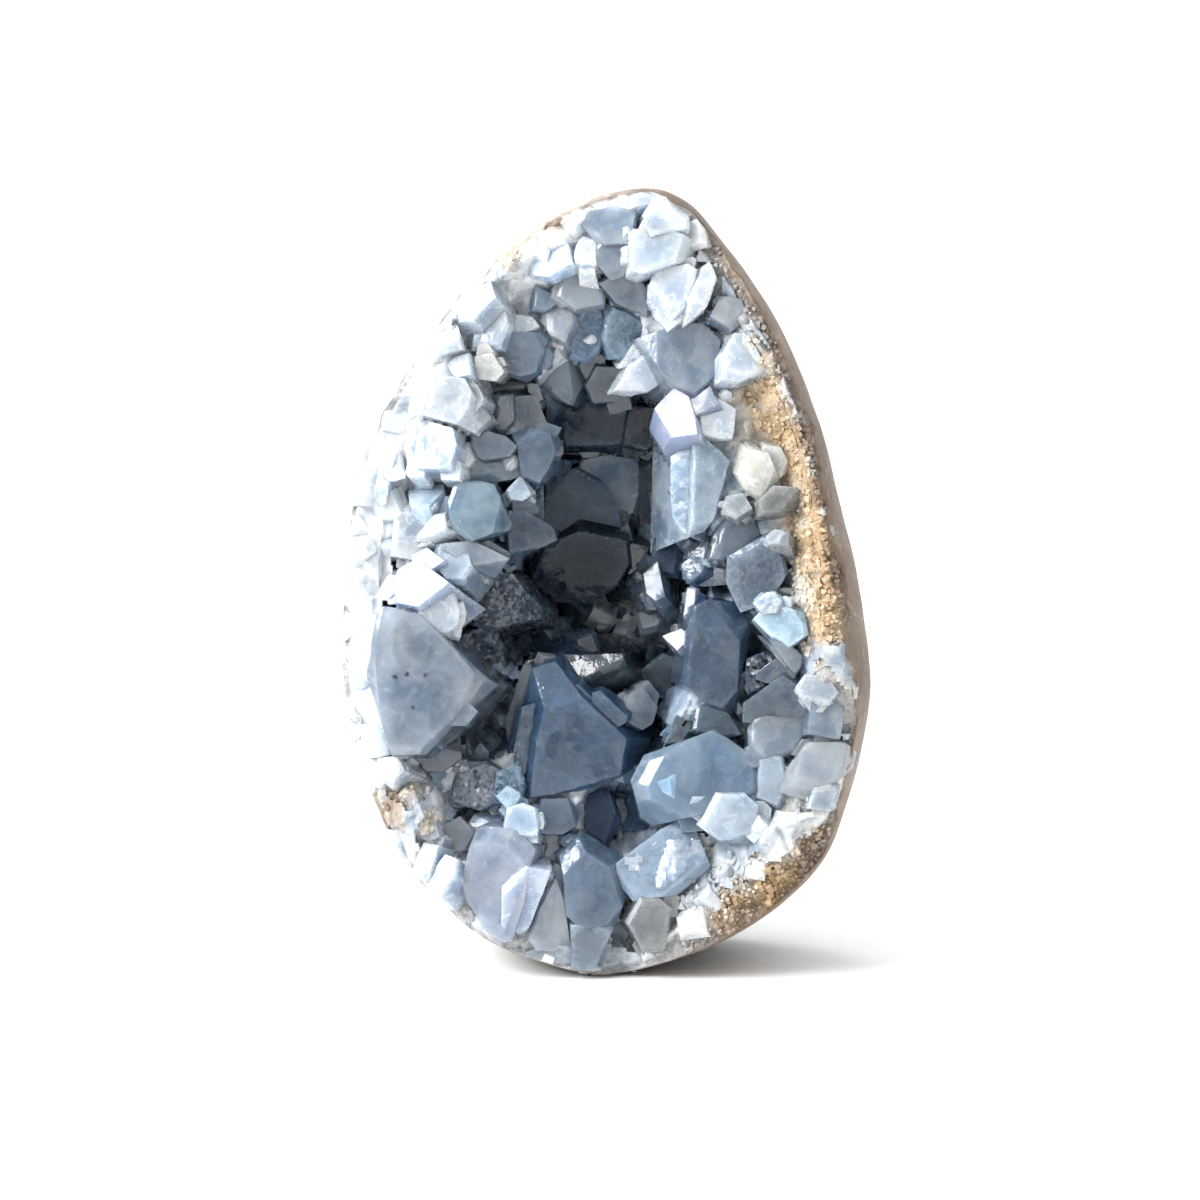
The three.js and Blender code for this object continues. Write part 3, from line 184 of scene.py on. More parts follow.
LEFT = [
    ("taupe", "clear", -4.5, -14, -10, 14,
     [(-21.2, 84.2), (-19.2, 88), (-14, 88.2), (-13.6, 84), (-15.5, 81.4), (-19.8, 81.8)]),
    ("beige", "clear", -4.5, 6, -2, 14,
     [(-14.4, 88.2), (-10.4, 88.2), (-9.2, 85), (-7.7, 81), (-10.5, 80), (-13.8, 83.4)]),
    ("steel", "clear", -6, 10, 2, 14,
     [(-13.8, 82.6), (-11, 83.4), (-8.4, 82.4), (-7.5, 79.8), (-8.6, 77), (-9.9, 74.8), (-12.6, 76)],
     [(2, 45), (3, 45)]),
    ("grey", "clear", -7, -6, 6, 13,
     [(-20.4, 82), (-17.8, 82.8), (-15, 82), (-13.2, 80.4), (-14.4, 78.8), (-18.5, 78.2), (-20.2,
     79.4)]),
    ("mint", "clear", -5, 4, -6, 12,
     [(-22.2, 77.5), (-20, 79), (-13, 79.6), (-11.8, 76), (-17.4, 74.8), (-21.8, 75)]),
    ("pale", "milky", -9.5, -16, 14, 12,
     [(-28.8, 78.2), (-28, 83), (-26, 84), (-22.7, 83), (-22.2, 80.4), (-23.2, 76.8), (-28.4, 77)]),
    ("white", "milky", -7, -10, 8, 10,
     [(-24, 76.5), (-22.4, 80), (-20.2, 81.6), (-19.8, 78.4), (-21.8, 75.4)]),
    ("mint", "clear", -9.5, -4, 5, 15,
     [(-23.8, 71.4), (-22.6, 75), (-19.5, 75.4), (-16.6, 74.6), (-15.2, 71.2), (-16, 67.6), (-20.3, 66),
     (-23.6, 68.4)], [(4, 45)]),
    ("pale", "clear", -9, 4, -9, 15,
     [(-25.6, 65.6), (-24, 68.4), (-20, 66.4), (-15.4, 68), (-14.1, 63.2), (-15, 61.4), (-19.9, 62.1),
     (-23.5, 64)], [(5, 50)]),
    ("taupe", "clear", -6.5, 16, 2, 12,
     [(-14.6, 70.8), (-12, 70.8), (-7.2, 68), (-6.7, 66.6), (-7.4, 65.2), (-10.8, 64.6), (-14.4, 62.8)],
     [(4, 50)]),
    ("beige", "milky", -7, -8, 10, 11,
     [(-32.4, 64), (-32, 70), (-30.4, 70.8), (-27.4, 70.6), (-26, 66), (-28.4, 63.2)]),
    ("white", "milky", -9, -20, 20, 10,
     [(-29.4, 66.8), (-28.8, 69.2), (-25.4, 70.4), (-24.2, 71.8), (-23.8, 68.2), (-27, 66.6)]),
    ("grey", "milky", -9, -10, 12, 11,
     [(-26.4, 63.4), (-25.4, 65.8), (-21, 66.2), (-19.8, 62.3), (-21.4, 60), (-23.4, 60)]),
    ("lav", "milky", -10.5, -20, 20, 12,
     [(-31.6, 61.8), (-28, 63.6), (-23.2, 60), (-27.8, 56.4), (-31.8, 57.2)]),
    ("white", "milky", -10, 8, -6, 13,
     [(-28, 56.4), (-24.5, 59.6), (-22.6, 59), (-21.6, 56), (-22, 53.8), (-24.5, 51.8), (-27.6, 52.2)],
     [(4, 45)]),
    ("grey", "clear", -11.5, -5, 3, 17,
     [(-35.2, 50), (-33.9, 56.6), (-28, 55.6), (-24.4, 52.2), (-18.6, 45.8), (-24.8, 36.8), (-27, 34.6),
     (-31.8, 34.4), (-34.2, 41.5)], [(3, 60), (4, 55), (8, 50)]),
    ("grey", "sugar", -7.5, -25, 8, 10,
     [(-38.8, 49), (-38.4, 58), (-35, 58), (-34, 50), (-35, 45), (-38, 44)]),
    ("night", "clear", -8.5, -12, 0, 9,
     [(-34.8, 36.6), (-33.6, 38.2), (-31.9, 35), (-34, 34.2)]),
    ("taupe", "milky", -10, -18, 14, 11,
     [(-34.6, 31), (-34, 34), (-31, 34.2), (-30, 32.2), (-32.4, 29.8)]),
    ("deep", "clear", -3, 5, -10, 13,
     [(-30.6, 34.2), (-25, 36), (-22, 36.4), (-21.6, 33), (-24, 31.2), (-28, 31.4)]),
    ("druse", "druse", 1, -10, 4, 14,
     [(-21.5, 54), (-21.5, 60), (-20, 62.4), (-14, 61.4), (-12.4, 59), (-13.4, 54), (-17.5, 52.6)], [(4,
     40)]),
    ("druse", "druse", 3, -4, -12, 12,
     [(-22, 52), (-17.5, 54), (-15.6, 50), (-15.2, 46), (-17, 44.6), (-20.5, 46)]),
    ("pale", "milky", -6, 10, 18, 8,
     [(-14.9, 74), (-13, 76), (-11.4, 75.2), (-10.3, 74), (-12.4, 72.2), (-14.3, 72.4)]),
]

# Crystals deep in the hollow; their dark tints are partly painted shade.
DEEP = [
    ("taupe", "clear", 10, 6, 16, 14,
     [(-10, 68), (-9.6, 75), (-5, 78), (0, 75.2), (2.6, 70.5), (3.6, 66), (-4, 64.5)], [(2, 50)]),
    ("night", "clear", 8, -2, -22, 14,
     [(-12.4, 60.4), (-10, 65.6), (-4, 68), (3.4, 66.5), (4, 62), (2.5, 59.6), (-2, 56.6), (-8, 57)],
     [(4, 40)]),
    ("pale", "clear", 13, 4, 8, 10,
     [(-4.8, 76.5), (-3.8, 79.4), (0.5, 80.2), (5, 79.4), (5.8, 75), (3.8, 69), (-2, 72)], [(4, 40)]),
    ("night", "clear", 10, -14, 0, 12,
     [(5, 79.4), (7.2, 79), (8.6, 74), (8, 68.4), (5, 68.6)]),
    ("dusk", "clear", 9, -6, -10, 11,
     [(0, 66), (3.4, 69.6), (4.6, 65.4), (2.5, 61.6)]),
    ("deep", "clear", 4, -10, 6, 12,
     [(6.6, 63.4), (7.4, 67.6), (9.6, 67.4), (11.8, 64.4), (11, 60.6), (8, 61.6)]),
    ("grey", "mirror", 2, -20, 22, 9,
     [(5.6, 61.4), (7.9, 63.4), (9, 58), (7.5, 57.2), (6.1, 58.4)]),
    ("dusk", "clear", 6, -8, 10, 12,
     [(5.2, 46.5), (8.5, 49.4), (12.4, 47.8), (12.8, 43.6), (9.5, 41.8), (6.6, 43)]),
    ("blue", "clear", 3, 5, 10, 11,
     [(1, 22), (3, 27.6), (5.2, 27.8), (9.2, 25.4), (6.2, 22.2)]),
    ("navy", "clear", 0, 0, 14, 10,
     [(-5, 23), (-3, 28), (1, 28.6), (2.4, 24), (0, 20)]),
    ("deep", "clear", 10.5, 0, -12, 9,
     [(-8, 80.5), (-8.5, 87), (-2, 88.4), (3.5, 87), (2.5, 81)], [(4, 50)]),
    ("night", "clear", 8, -12, -8, 10,
     [(2.5, 81), (3.5, 87.6), (8, 87), (9.4, 82.6), (6, 80)]),
    ("mint", "clear", 8, 14, -6, 12,
     [(-15.4, 70), (-14, 74), (-9.6, 75.4), (-9.4, 68.4), (-12, 66)]),
]

MIDDLE_RIGHT = [
    ("blue", "clear", -5.5, 2, -5, 18,
     [(-11.8, 27.6), (-11, 34.4), (-9.2, 41), (-2, 43.2), (2.6, 40.6), (6.1, 37.4), (4.8, 32.2), (1, 30),
     (-3.8, 28.6)], [(0, 62, 2), (1, 45, 3), (2, 28, 6), (3, 30, 3), (4, 40, 1.5), (5, 70, 1)]),
    ("brown", "clear", -0.5, -16, 22, 14,
     [(-12.6, 43), (-12.4, 48.2), (-8, 49.2), (2.6, 49.4), (3, 46.5), (-2, 45), (-8, 42)]),
    ("white", "clear", -2, -50, 4, 12,
     [(-15.4, 39), (-12.6, 47.8), (-10, 46), (-9.2, 41), (-11, 34), (-11.8, 28), (-14.4, 29.4)]),
    ("pale", "clear", -1.5, 20, 8, 12,
     [(3, 43), (5.6, 44.4), (8, 41.2), (7.2, 38.6), (5.6, 37.6), (3, 39)]),
    ("slate", "clear", -8.5, 2, -1, 17,
     [(12, 44.4), (12.6, 50), (13.4, 56.6), (15, 57.5), (17.6, 57.1), (19.6, 54.6), (20.6, 51), (20.4,
     46), (19, 40), (15.6, 41.4)], [(0, 50, 0.8), (1, 45, 0.8), (4, 50, 1.6), (5, 42, 1.4),
     (6, 45, 1)]),
    # The glare tint of these faces is a painted reflection of the window.
    ("glare", "mirror", -6, -30, 24, 10,
     [(11.2, 53), (12.2, 59.4), (14.3, 59.1), (15.2, 57.8), (13.2, 56.2), (12.7, 51.6)]),
    ("glare", "mirror", -5, -24, 22, 10,
     [(8.4, 52), (11.3, 53.3), (12.9, 51.8), (10.6, 49.8)]),
    ("teal", "clear", -8, 6, 10, 12,
     [(12.8, 38), (13.4, 41.2), (16, 42), (19.2, 40), (20.8, 37.4), (16.6, 36.6)]),
    ("night", "milky", -6.5, -10, 10, 10,
     [(8.4, 35.8), (10.5, 39), (13.4, 37.6), (12, 36)]),
    ("steel", "clear", -3.5, -34, 8, 12,
     [(11.3, 60.8), (11.4, 62.8), (14.6, 66.6), (15.4, 66.2), (14.4, 61.5), (12.2, 59.8)]),
    ("white", "milky", -2, 4, -22, 12,
     [(12.2, 60.2), (14, 63), (18, 62), (18.4, 59.6), (14.5, 59.2)]),
    ("grey", "clear", -7, 6, 6, 14,
     [(15.6, 63.6), (16.2, 67.8), (19, 70.5), (22.8, 70), (23.8, 67.2), (20.4, 65), (18, 63.4)]),
    ("brown", "glinting", -9.5, -4, -4, 14,
     [(17.8, 60), (18, 63.8), (22.6, 66.4), (25.9, 65.8), (27, 61.5), (25.4, 58.4), (22, 56.2), (20,
     55.4)], [(2, 45)]),
    ("grey", "milky", -8, 16, 2, 17,
     [(12.6, 66.8), (12.8, 74), (12.4, 81.4), (15.2, 81.6), (17.3, 79.6), (18.9, 77.8), (18, 74.6),
     (17.2, 71), (15, 67.7)], [(1, 42, 1), (5, 50)]),
    ("steel", "milky", -7, -26, 2, 15,
     [(9.6, 70.2), (9.6, 79.8), (12.6, 81.6), (13.4, 74), (12.8, 66.6), (11.2, 67.6)]),
    # Glare tint again: a painted reflection of the window.
    ("glare", "mirror", -9, -20, 22, 13,
     [(7.2, 86.1), (10.2, 89.3), (12.9, 87.4), (13.2, 85), (14.1, 82), (9.8, 81.5)], [(5, 55)]),
    ("glare", "mirror", -9, -18, 20, 12,
     [(12.4, 87.2), (15.5, 89.3), (16.8, 86.5), (13.1, 84.8)]),
    ("white", "milky", -8, 10, -12, 13,
     [(14, 84.8), (16.8, 87.4), (19.6, 86), (19, 81), (14.4, 81)]),
    ("cream", "milky", -10, 6, -10, 12,
     [(19.6, 75.8), (20.8, 79.8), (24.2, 79.2), (25.4, 76.4), (24, 73), (22.4, 72.2), (20.8, 73.6)], [(3,
     50)]),
    ("beige", "milky", -9.5, -8, 12, 10,
     [(17, 70.6), (17.8, 73), (20.4, 73.4), (21.8, 71), (19.2, 69.4)]),
    ("olive", "milky", -11.5, 8, 4, 10,
     [(22.6, 72), (25, 74.4), (28.4, 74.2), (29.4, 72), (27, 70.1), (23, 70)]),
    ("beige", "milky", -12.5, -14, 18, 10,
     [(23, 66.4), (25, 68), (27, 67.4), (26.7, 65.7), (24, 65.5)]),
]

RIGHT = [
    ("pale", "milky", -12.5, -16, 18, 11,
     [(21.6, 57), (23.8, 58.7), (26, 58.2), (25.8, 55.6), (23, 55.2)]),
    ("mint", "milky", -13, -6, 4, 12,
     [(21.6, 54.6), (24, 57), (29.2, 55.7), (29.8, 52.4), (27, 50.3), (24.3, 51.8)], [(4, 50, 1.4)]),
    ("grey", "clear", -12.5, 4, -8, 11,
     [(24, 51.6), (27, 51), (30, 48.5), (28.2, 46), (26.6, 47.8)]),
    ("night", "druse", -8, -4, 6, 13,
     [(20.6, 44.2), (20.9, 48.6), (24, 50), (27.2, 47.2), (24.8, 44), (21.8, 42)]),
    ("teal", "clear", -10.5, -10, -4, 14,
     [(20.2, 38.6), (20.3, 42), (26.8, 46.8), (29.6, 45.8), (30.4, 41), (26, 37.6)]),
    ("pale", "clear", -11, -8, 14, 14,
     [(20.8, 34.2), (21, 39.4), (26, 41), (30.8, 41.2), (30, 37.6), (28, 35), (24, 33.8)]),
    ("beige", "milky", -14.6, -12, 14, 14,
     [(27.6, 44.2), (29.2, 46.6), (32.6, 46.2), (34.2, 43.8), (32.6, 42), (29.4, 41.8)]),
    ("grey", "clear", -14.5, 6, 2, 11,
     [(29.6, 37.6), (30.2, 43.2), (34.4, 42.8), (35.8, 40), (34.6, 36.8)]),
    ("white", "clear", -14, 0, 4, 12,
     [(26, 31.4), (28, 34.2), (31, 36.7), (34.4, 37.2), (37, 35), (36.4, 32.6), (34, 30.6), (30.5, 30)],
     [(6, 40), (7, 45), (1, 50)]),
    ("beige", "milky", -14, 4, -4, 9,
     [(29.6, 26.6), (30.5, 30), (35.6, 30.8), (36.2, 27.4), (33, 26.2)]),
    ("ice", "clear", -10.5, -3, 5, 17,
     [(6, 30.4), (7.6, 33.5), (12, 36.7), (15.5, 38), (18.2, 36.8), (22.2, 34), (22.6, 29), (18, 26),
     (10.5, 24.8), (7, 26.8)], [(0, 45), (1, 55), (8, 45), (9, 40), (3, 50)]),
    ("pale", "milky", -11.5, 6, -8, 14,
     [(13.6, 23.8), (16.4, 28.6), (20.6, 28.8), (22.6, 27), (22.4, 22.4), (17, 21.3)]),
    ("taupe", "milky", -11, -6, -6, 12,
     [(22, 27.6), (22.6, 33.6), (26, 34.6), (27.2, 30), (26, 26)]),
    ("taupe", "sugar", -8.5, -8, 12, 12,
     [(0.2, 17), (2.8, 20.6), (8, 23.2), (10.3, 25), (13.4, 23.2), (15.5, 18), (10, 13.5), (4, 12.6)]),
]

BOTTOM = [
    ("night", "clear", -5.5, -6, 6, 12,
     [(-25, 23.4), (-22, 25), (-19.6, 22.6), (-21.4, 19.8), (-23, 19.4), (-24.8, 21.4)], [(2, 50)]),
    ("pale", "milky", -8.5, -6, 8, 12,
     [(-15.4, 23.4), (-14.9, 26.4), (-12.5, 27.2), (-10.2, 26.4), (-9.9, 24.2), (-10.3, 22), (-14,
     21.9)]),
    ("ice", "milky", -7, -8, 16, 11,
     [(-16.6, 28), (-14.9, 29.7), (-12.8, 28.8), (-12.6, 27), (-14.9, 26.2)]),
    ("steel", "clear", -6.5, 8, 4, 13,
     [(-10.2, 24.8), (-9.6, 27.6), (-5.4, 27.7), (-3.8, 25.5), (-4.1, 23.6), (-6.5, 22.2), (-9.8,
     22.4)]),
    ("druse", "druse", -5, -10, 2, 12,
     [(-24, 27), (-23, 31), (-18, 33), (-15, 31.4), (-15.6, 27.4), (-19, 25.6)]),
    ("teal", "druse", -6, -2, 10, 11,
     [(-17, 26.8), (-16.6, 31.6), (-13, 33.4), (-12, 29.6), (-12.6, 27.6)]),
    ("lav", "clear", -9.5, -12, -2, 16,
     [(-21.9, 15), (-20.4, 20.6), (-18.2, 21.4), (-14.6, 20.8), (-11.4, 17.4), (-12.2, 12), (-14, 6.8),
     (-16, 6), (-19.8, 9.2)], [(1, 42), (2, 35), (3, 40), (7, 50)]),
    ("lav", "milky", -10, 6, -10, 14,
     [(-15.4, 14.6), (-12.2, 18), (-8.2, 17.2), (-9.4, 13.6), (-11.6, 8), (-13.6, 6.4), (-15.6, 9)], [(2,
     50)]),
    ("white", "clear", -8.5, 6, -4, 14,
     [(-10, 12), (-9, 15), (-6.7, 16.4), (-6.2, 12.6), (-4.6, 8), (-5.2, 4.2), (-10, 4.4), (-12.2,
     7.6)]),
    ("steel", "clear", -9.5, 6, 2, 16,
     [(-6.4, 16.4), (-3, 19.9), (1, 17.4), (2.7, 12), (1.3, 8.2), (-3, 7.6), (-5.8, 10.4)], [(0, 42), (1,
     55), (2, 50)]),
    ("dusk", "milky", -9, 4, -10, 13,
     [(-5.2, 8.8), (-0.6, 9.8), (1.2, 8.4), (-0.3, 5), (-1.5, 2.4), (-5.2, 1.4)]),
    ("pale", "clear", -6, -8, 26, 13,
     [(-7.4, 21.4), (-5.4, 23), (-1, 19.6), (0.4, 17.2), (-3.2, 19), (-6, 17.6)]),
    ("brown", "milky", -7.5, -8, -14, 9,
     [(-13.2, 4), (-9, 6.2), (-5.4, 5.6), (-2.2, 2), (-6, 1), (-10, 1.8)]),
    ("olive", "milky", -9.5, 8, -4, 14,
     [(3, 9.4), (4.8, 12.6), (8.2, 13), (10.2, 11.3), (9.5, 8.2), (9, 4.6), (5.5, 5)], [(1, 50)]),
    ("steel", "milky", -10, -20, 22, 11,
     [(-26.9, 16), (-24, 19.6), (-22, 18.9), (-22.2, 16.4), (-24.5, 13.4), (-26.6, 13.6)]),
    ("grey", "milky", -9, -28, 20, 11,
     [(-29.7, 16.6), (-27.3, 21.3), (-24.8, 21), (-26.4, 16.2), (-28, 13.6)]),
    ("white", "milky", -7, -12, 10, 10,
     [(-28.4, 22), (-27.8, 24.6), (-25.4, 24.4), (-24.8, 22), (-26.6, 21)]),
]


# ---- shared shapes ----
def columns(*values):
    return np.stack(values, axis=-1)


def unit(v):
    return v / np.linalg.norm(v, axis=-1, keepdims=True)


def placed(points):
    """Upright millimetres to the row's frame in metres."""
    p = np.asarray(points, float)
    c, s = math.cos(LEAN_BACK), math.sin(LEAN_BACK)
    out = np.empty_like(p)
    out[..., 0] = p[..., 0] + STAND[0]
    out[..., 1] = p[..., 1] * c + p[..., 2] * s + STAND[1]
    out[..., 2] = -p[..., 1] * s + p[..., 2] * c + STAND[2]
    return out * 0.001


def smooth(a, b, t):
    u = np.clip((t - a) / (b - a), 0, 1)
    return u * u * (3 - 2 * u)


def outline_points(count):
    """Evenly spaced points of the closed outline curve."""
    pts = np.array(OUTLINE, float)
    dense = []
    for i in range(len(pts)):
        p0, p1, p2, p3 = (pts[(i + k) % len(pts)] for k in (-1, 0, 1, 2))
        d0, d1, d2 = (math.sqrt(np.linalg.norm(b - a)) for a, b in ((p0, p1), (p1, p2), (p2, p3)))
        t1 = ((p1 - p0) / d0 - (p2 - p0) / (d0 + d1) + (p2 - p1) / d1) * d1
        t2 = ((p2 - p1) / d1 - (p3 - p1) / (d1 + d2) + (p3 - p2) / d2) * d1
        for u in np.linspace(0, 1, 24, endpoint=False):
            dense.append(p1 + t1 * u + (3 * (p2 - p1) - 2 * t1 - t2) * u * u
                         + (2 * (p1 - p2) + t1 + t2) * u ** 3)
    dense = np.array(dense + [dense[0]])
    length = np.concatenate([[0], np.cumsum(np.linalg.norm(np.diff(dense, axis=0), axis=1))])
    at = np.linspace(0, length[-1], count, endpoint=False)
    return np.stack([np.interp(at, length, dense[:, k]) for k in (0, 1)], axis=1)


RIM = outline_points(720)
_angle = np.arctan2(RIM[:, 1] - MIDDLE[1], RIM[:, 0] - MIDDLE[0])
_order = np.argsort(_angle)
RIM_ANGLE = _angle[_order]
RIM_RADIUS = np.hypot(RIM[:, 0] - MIDDLE[0], RIM[:, 1] - MIDDLE[1])[_order]


def on_egg(x, z):
    """How far out a point lies, 0 in the middle and 1 on the outline, and the height of the outline
    point that it lies towards."""
    angle = np.arctan2(z - MIDDLE[1], x - MIDDLE[0])
    radius = np.interp(angle, RIM_ANGLE, RIM_RADIUS, period=2 * math.pi)
    return np.hypot(x - MIDDLE[0], z - MIDDLE[1]) / radius, MIDDLE[1] + radius * np.sin(angle)


def egg_shape(outline_z):
    """How far the widest outline is set back, and the reach and fullness in front of it and behind."""
    low = 1 - smooth(0, BASE_TOP, outline_z)
    set_back = BASE_SETBACK * low
    return (set_back, (FRONT_DEPTH + set_back, FRONT_FULLNESS + 1.6 * low),
            (BACK_DEPTH - set_back, BACK_FULLNESS + 0.8 * low))


def egg_front(size, outline_z):
    """Depth of the egg's surface in front of its widest outline."""
    set_back, (reach, power), _ = egg_shape(outline_z)
    return set_back - reach * (1 - np.clip(size, 0, 1) ** power) ** (1 / power)


def outside_egg(p):
    """Below 0 inside the egg, above 0 outside."""
    size, outline_z = on_egg(p[..., 0], p[..., 2])
    set_back, ahead, behind = egg_shape(outline_z)
    y = p[..., 1] - set_back
    reach, power = (np.where(y < 0, a, b) for a, b in zip(ahead, behind))
    return np.abs(y / reach) ** power + size ** power - 1


def hashed(i, j, seed):
    v = np.sin(i * 127.1 + j * 311.7 + seed * 74.7) * 43758.5453
    return v - np.floor(v)


def waves(x, z, size, seed, octaves=3):
    """Smooth noise between about -1 and 1, with its largest features as wide as size."""
    total = np.zeros_like(x)
    weight = 1.0
    for k in range(octaves):
        u, v = x / size, z / size
        i, j = np.floor(u), np.floor(v)
        u, v = u - i, v - j
        u, v = u * u * (3 - 2 * u), v * v * (3 - 2 * v)
        a, b = hashed(i, j, seed + k), hashed(i + 1, j, seed + k)
        c, d = hashed(i, j + 1, seed + k), hashed(i + 1, j + 1, seed + k)
        total += weight * (2 * (a + (b - a) * u + (c - a) * v + (a - b - c + d) * u * v) - 1)
        weight *= 0.5
        size *= 0.5
    return total / 1.5


def grains(x, z, size, seed):
    """Distance to the middle of the nearest grain, in grains."""
    u, v = x / size, z / size
    i, j = np.floor(u), np.floor(v)
    best = np.full_like(x, 9.0)
    for di, dj in itertools.product((-1, 0, 1), repeat=2):
        gx = i + di + hashed(i + di, j + dj, seed)
        gz = j + dj + hashed(i + di, j + dj, seed + 3)
        best = np.minimum(best, np.hypot(u - gx, v - gz))
    return best


def cloud(p, size, seed):
    """Smooth noise between -1 and 1 in space."""
    q = p / size
    cell = np.floor(q)
    u = q - cell
    u = u * u * (3 - 2 * u)
    total = np.zeros(p.shape[:-1])
    for corner in itertools.product((0, 1), repeat=3):
        c = np.array(corner)
        v = np.sin((cell + c) @ np.array([127.1, 311.7, 74.7]) + seed * 19.3) * 43758.5453
        total += (v - np.floor(v)) * np.prod(np.where(c, u, 1 - u), axis=-1)
    return 2 * total - 1


def bowl(shape, x, z):
    u, v = (x - shape[0]) / shape[2], (z - shape[1]) / shape[3]
    return shape[4] * np.maximum(0, 1 - u * u - v * v) ** 0.8


def with_lumps(depth, lumps, x, z):
    y = depth
    for lx, lz, radius, height in lumps:
        near = 1 - ((x - lx) ** 2 + (z - lz) ** 2) / (radius * radius)
        y = y - height * np.sqrt(np.maximum(near, 0))
    return y


def rim_depth(x, z):
    return -7 - 0.07 * x - 4.5 * np.exp(-(((x - 40) / 18) ** 2 + ((z - 55) / 26) ** 2))


def rock_front(x, z):
    rough = 0.55 * np.sin(x / 3.1 + 0.6) * np.sin(z / 3.7 + 1.1)
    rough = rough + 0.35 * np.sin(x / 1.9 + z / 2.3) * np.sin(z / 1.7 - x / 2.9)
    return with_lumps(rim_depth(x, z) + bowl(HOLLOW, x, z) + rough, LUMPS, x, z)


def lining_front(x, z):
    """The lining of the hollow, thinning out towards the rim."""
    between = [(px, pz, radius, -depth) for px, pz, radius, depth in POCKETS]
    grown = with_lumps(rim_depth(x, z) + 3.5 + bowl(VOID, x, z), between, x, z)
    back = rock_front(x, z) - SEAM * 1.6
    ahead = np.minimum(grown, back - LINING)
    return back + 0.6 + (ahead - back - 0.6) * smooth(0.3, 7, bowl(HOLLOW, x, z))


def broken_front(x, z):
    """The broken face of the rock with its granular relief."""
    y = rock_front(x, z) - 0.9 * waves(x, z, 3.4, 1) + 0.9 * (grains(x, z, 1.7, 5) - 0.45)
    return y + 0.35 * (grains(x, z, 0.8, 11) - 0.45)


def fused(x, z, size, seed):
    """Depth, behind its foremost tips, of a crust of fused crystals about size across, each with a
    tilted flat tip and four sloping sides."""
    u, v = x / size, z / size
    i, j = np.floor(u), np.floor(v)
    best = np.full_like(x, 9.0)
    for di, dj in itertools.product((-2, -1, 0, 1, 2), repeat=2):
        a, b = i + di, j + dj
        du, dv = u - a - hashed(a, b, seed), v - b - hashed(a, b, seed + 3)
        turn, lean = 2 * math.pi * hashed(a, b, seed + 5), 2 * math.pi * hashed(a, b, seed + 7)
        top = 0.5 * hashed(a, b, seed + 9)
        face = top + 0.4 * hashed(a, b, seed + 11) * (du * np.cos(lean) + dv * np.sin(lean))
        for k in range(4):
            way = turn + 1.57 * k + 0.7 * hashed(a, b, seed + 31 + k)
            reach = 0.25 + 0.35 * hashed(a, b, seed + 41 + k)
            slope = 0.6 + 1.2 * hashed(a, b, seed + 51 + k)
            face = np.maximum(face, top + slope * (du * np.cos(way) + dv * np.sin(way) - reach))
        best = np.minimum(best, face)
    return best * size


def to_right(x, z):
    return smooth(3, 12, x + 2 * waves(x, z, 6, 79))


def crust_front(x, z):
    """The mass of fused crystals that the large ones stand in: just behind their faces between them,
    coarser on the left and sugary on the right of the rim, and always behind their own faces."""
    right = to_right(x, z)
    gaps = [(px, pz, radius, -depth) for px, pz, radius, depth in POCKETS + [(-4, 54, 9, 10)]]
    mass = with_lumps(sampled(MASS, x, z), gaps, x, z)
    base = np.minimum(rock_front(x, z) - 1.5, lining_front(x, z) - 0.3)
    y = base + (np.minimum(base, mass) - base) * smooth(0.1, 0.35, sampled(NEAR_LARGE, x, z))
    y = np.minimum(y, looked_up(SUGAR_FRONT, x, z) - 0.2)
    coarse, middle, fine = fused(x, z, 5.0, 71), fused(x, z, 2.3, 72), fused(x, z, 1.1, 73)
    left_relief = 0.58 * coarse + 0.30 * middle
    right_relief = 0.42 * coarse + 0.42 * middle + 0.25 * fine
    y = y - 0.4 + left_relief + (right_relief - left_relief) * right
    large = looked_up(LARGE_FRONT, x, z)
    return np.where((large < NOTHING) & (y < large + 0.3), large + 0.5, y)


def crust_tint_and_shade(x, z, y):
    """Colour of the crust: that of the rim, and further in that of the large crystals near by, darker the
    deeper it lies as painted shade.
    """
    within = smooth(2, 8, bowl(HOLLOW, x, z)) * smooth(0.05, 0.3, sampled(NEAR_LARGE, x, z))
    shade = 1 - 0.65 * smooth(3, 14, y - rim_depth(x, z))
    rim_colour, stained = rim_tint_and_light(x, z)
    within = within * (1 - stained)
    return rim_colour + (sampled(MASS_TONE, x, z) * shade[..., None] - rim_colour) * within[..., None]


def druse_front(x, z):
    """The lining with the small crystals that stud it."""
    y = lining_front(x, z) - 0.8 * waves(x, z, 4.5, 21) + 1.5 * (grains(x, z, 2.6, 25) - 0.45)
    return y + 0.5 * (grains(x, z, 1.1, 31) - 0.45)


def front(x, z):
    return np.maximum(np.minimum(broken_front(x, z), druse_front(x, z)), front_limit(x, z))


def front_limit(x, z):
    return egg_front(*on_egg(x, z))


def outward(surface, x, z, step=0.7):
    """Unit directions that stand on a depth surface."""
    dx = (surface(x + step, z) - surface(x - step, z)) / (2 * step)
    dz = (surface(x, z + step) - surface(x, z - step)) / (2 * step)
    n = columns(dx, -np.ones_like(dx), dz)
    return unit(n)


# ---- meshes ----
def linked(name, data):
    piece = bpy.data.objects.new(name, data)
    bpy.context.scene.collection.objects.link(piece)
    return piece


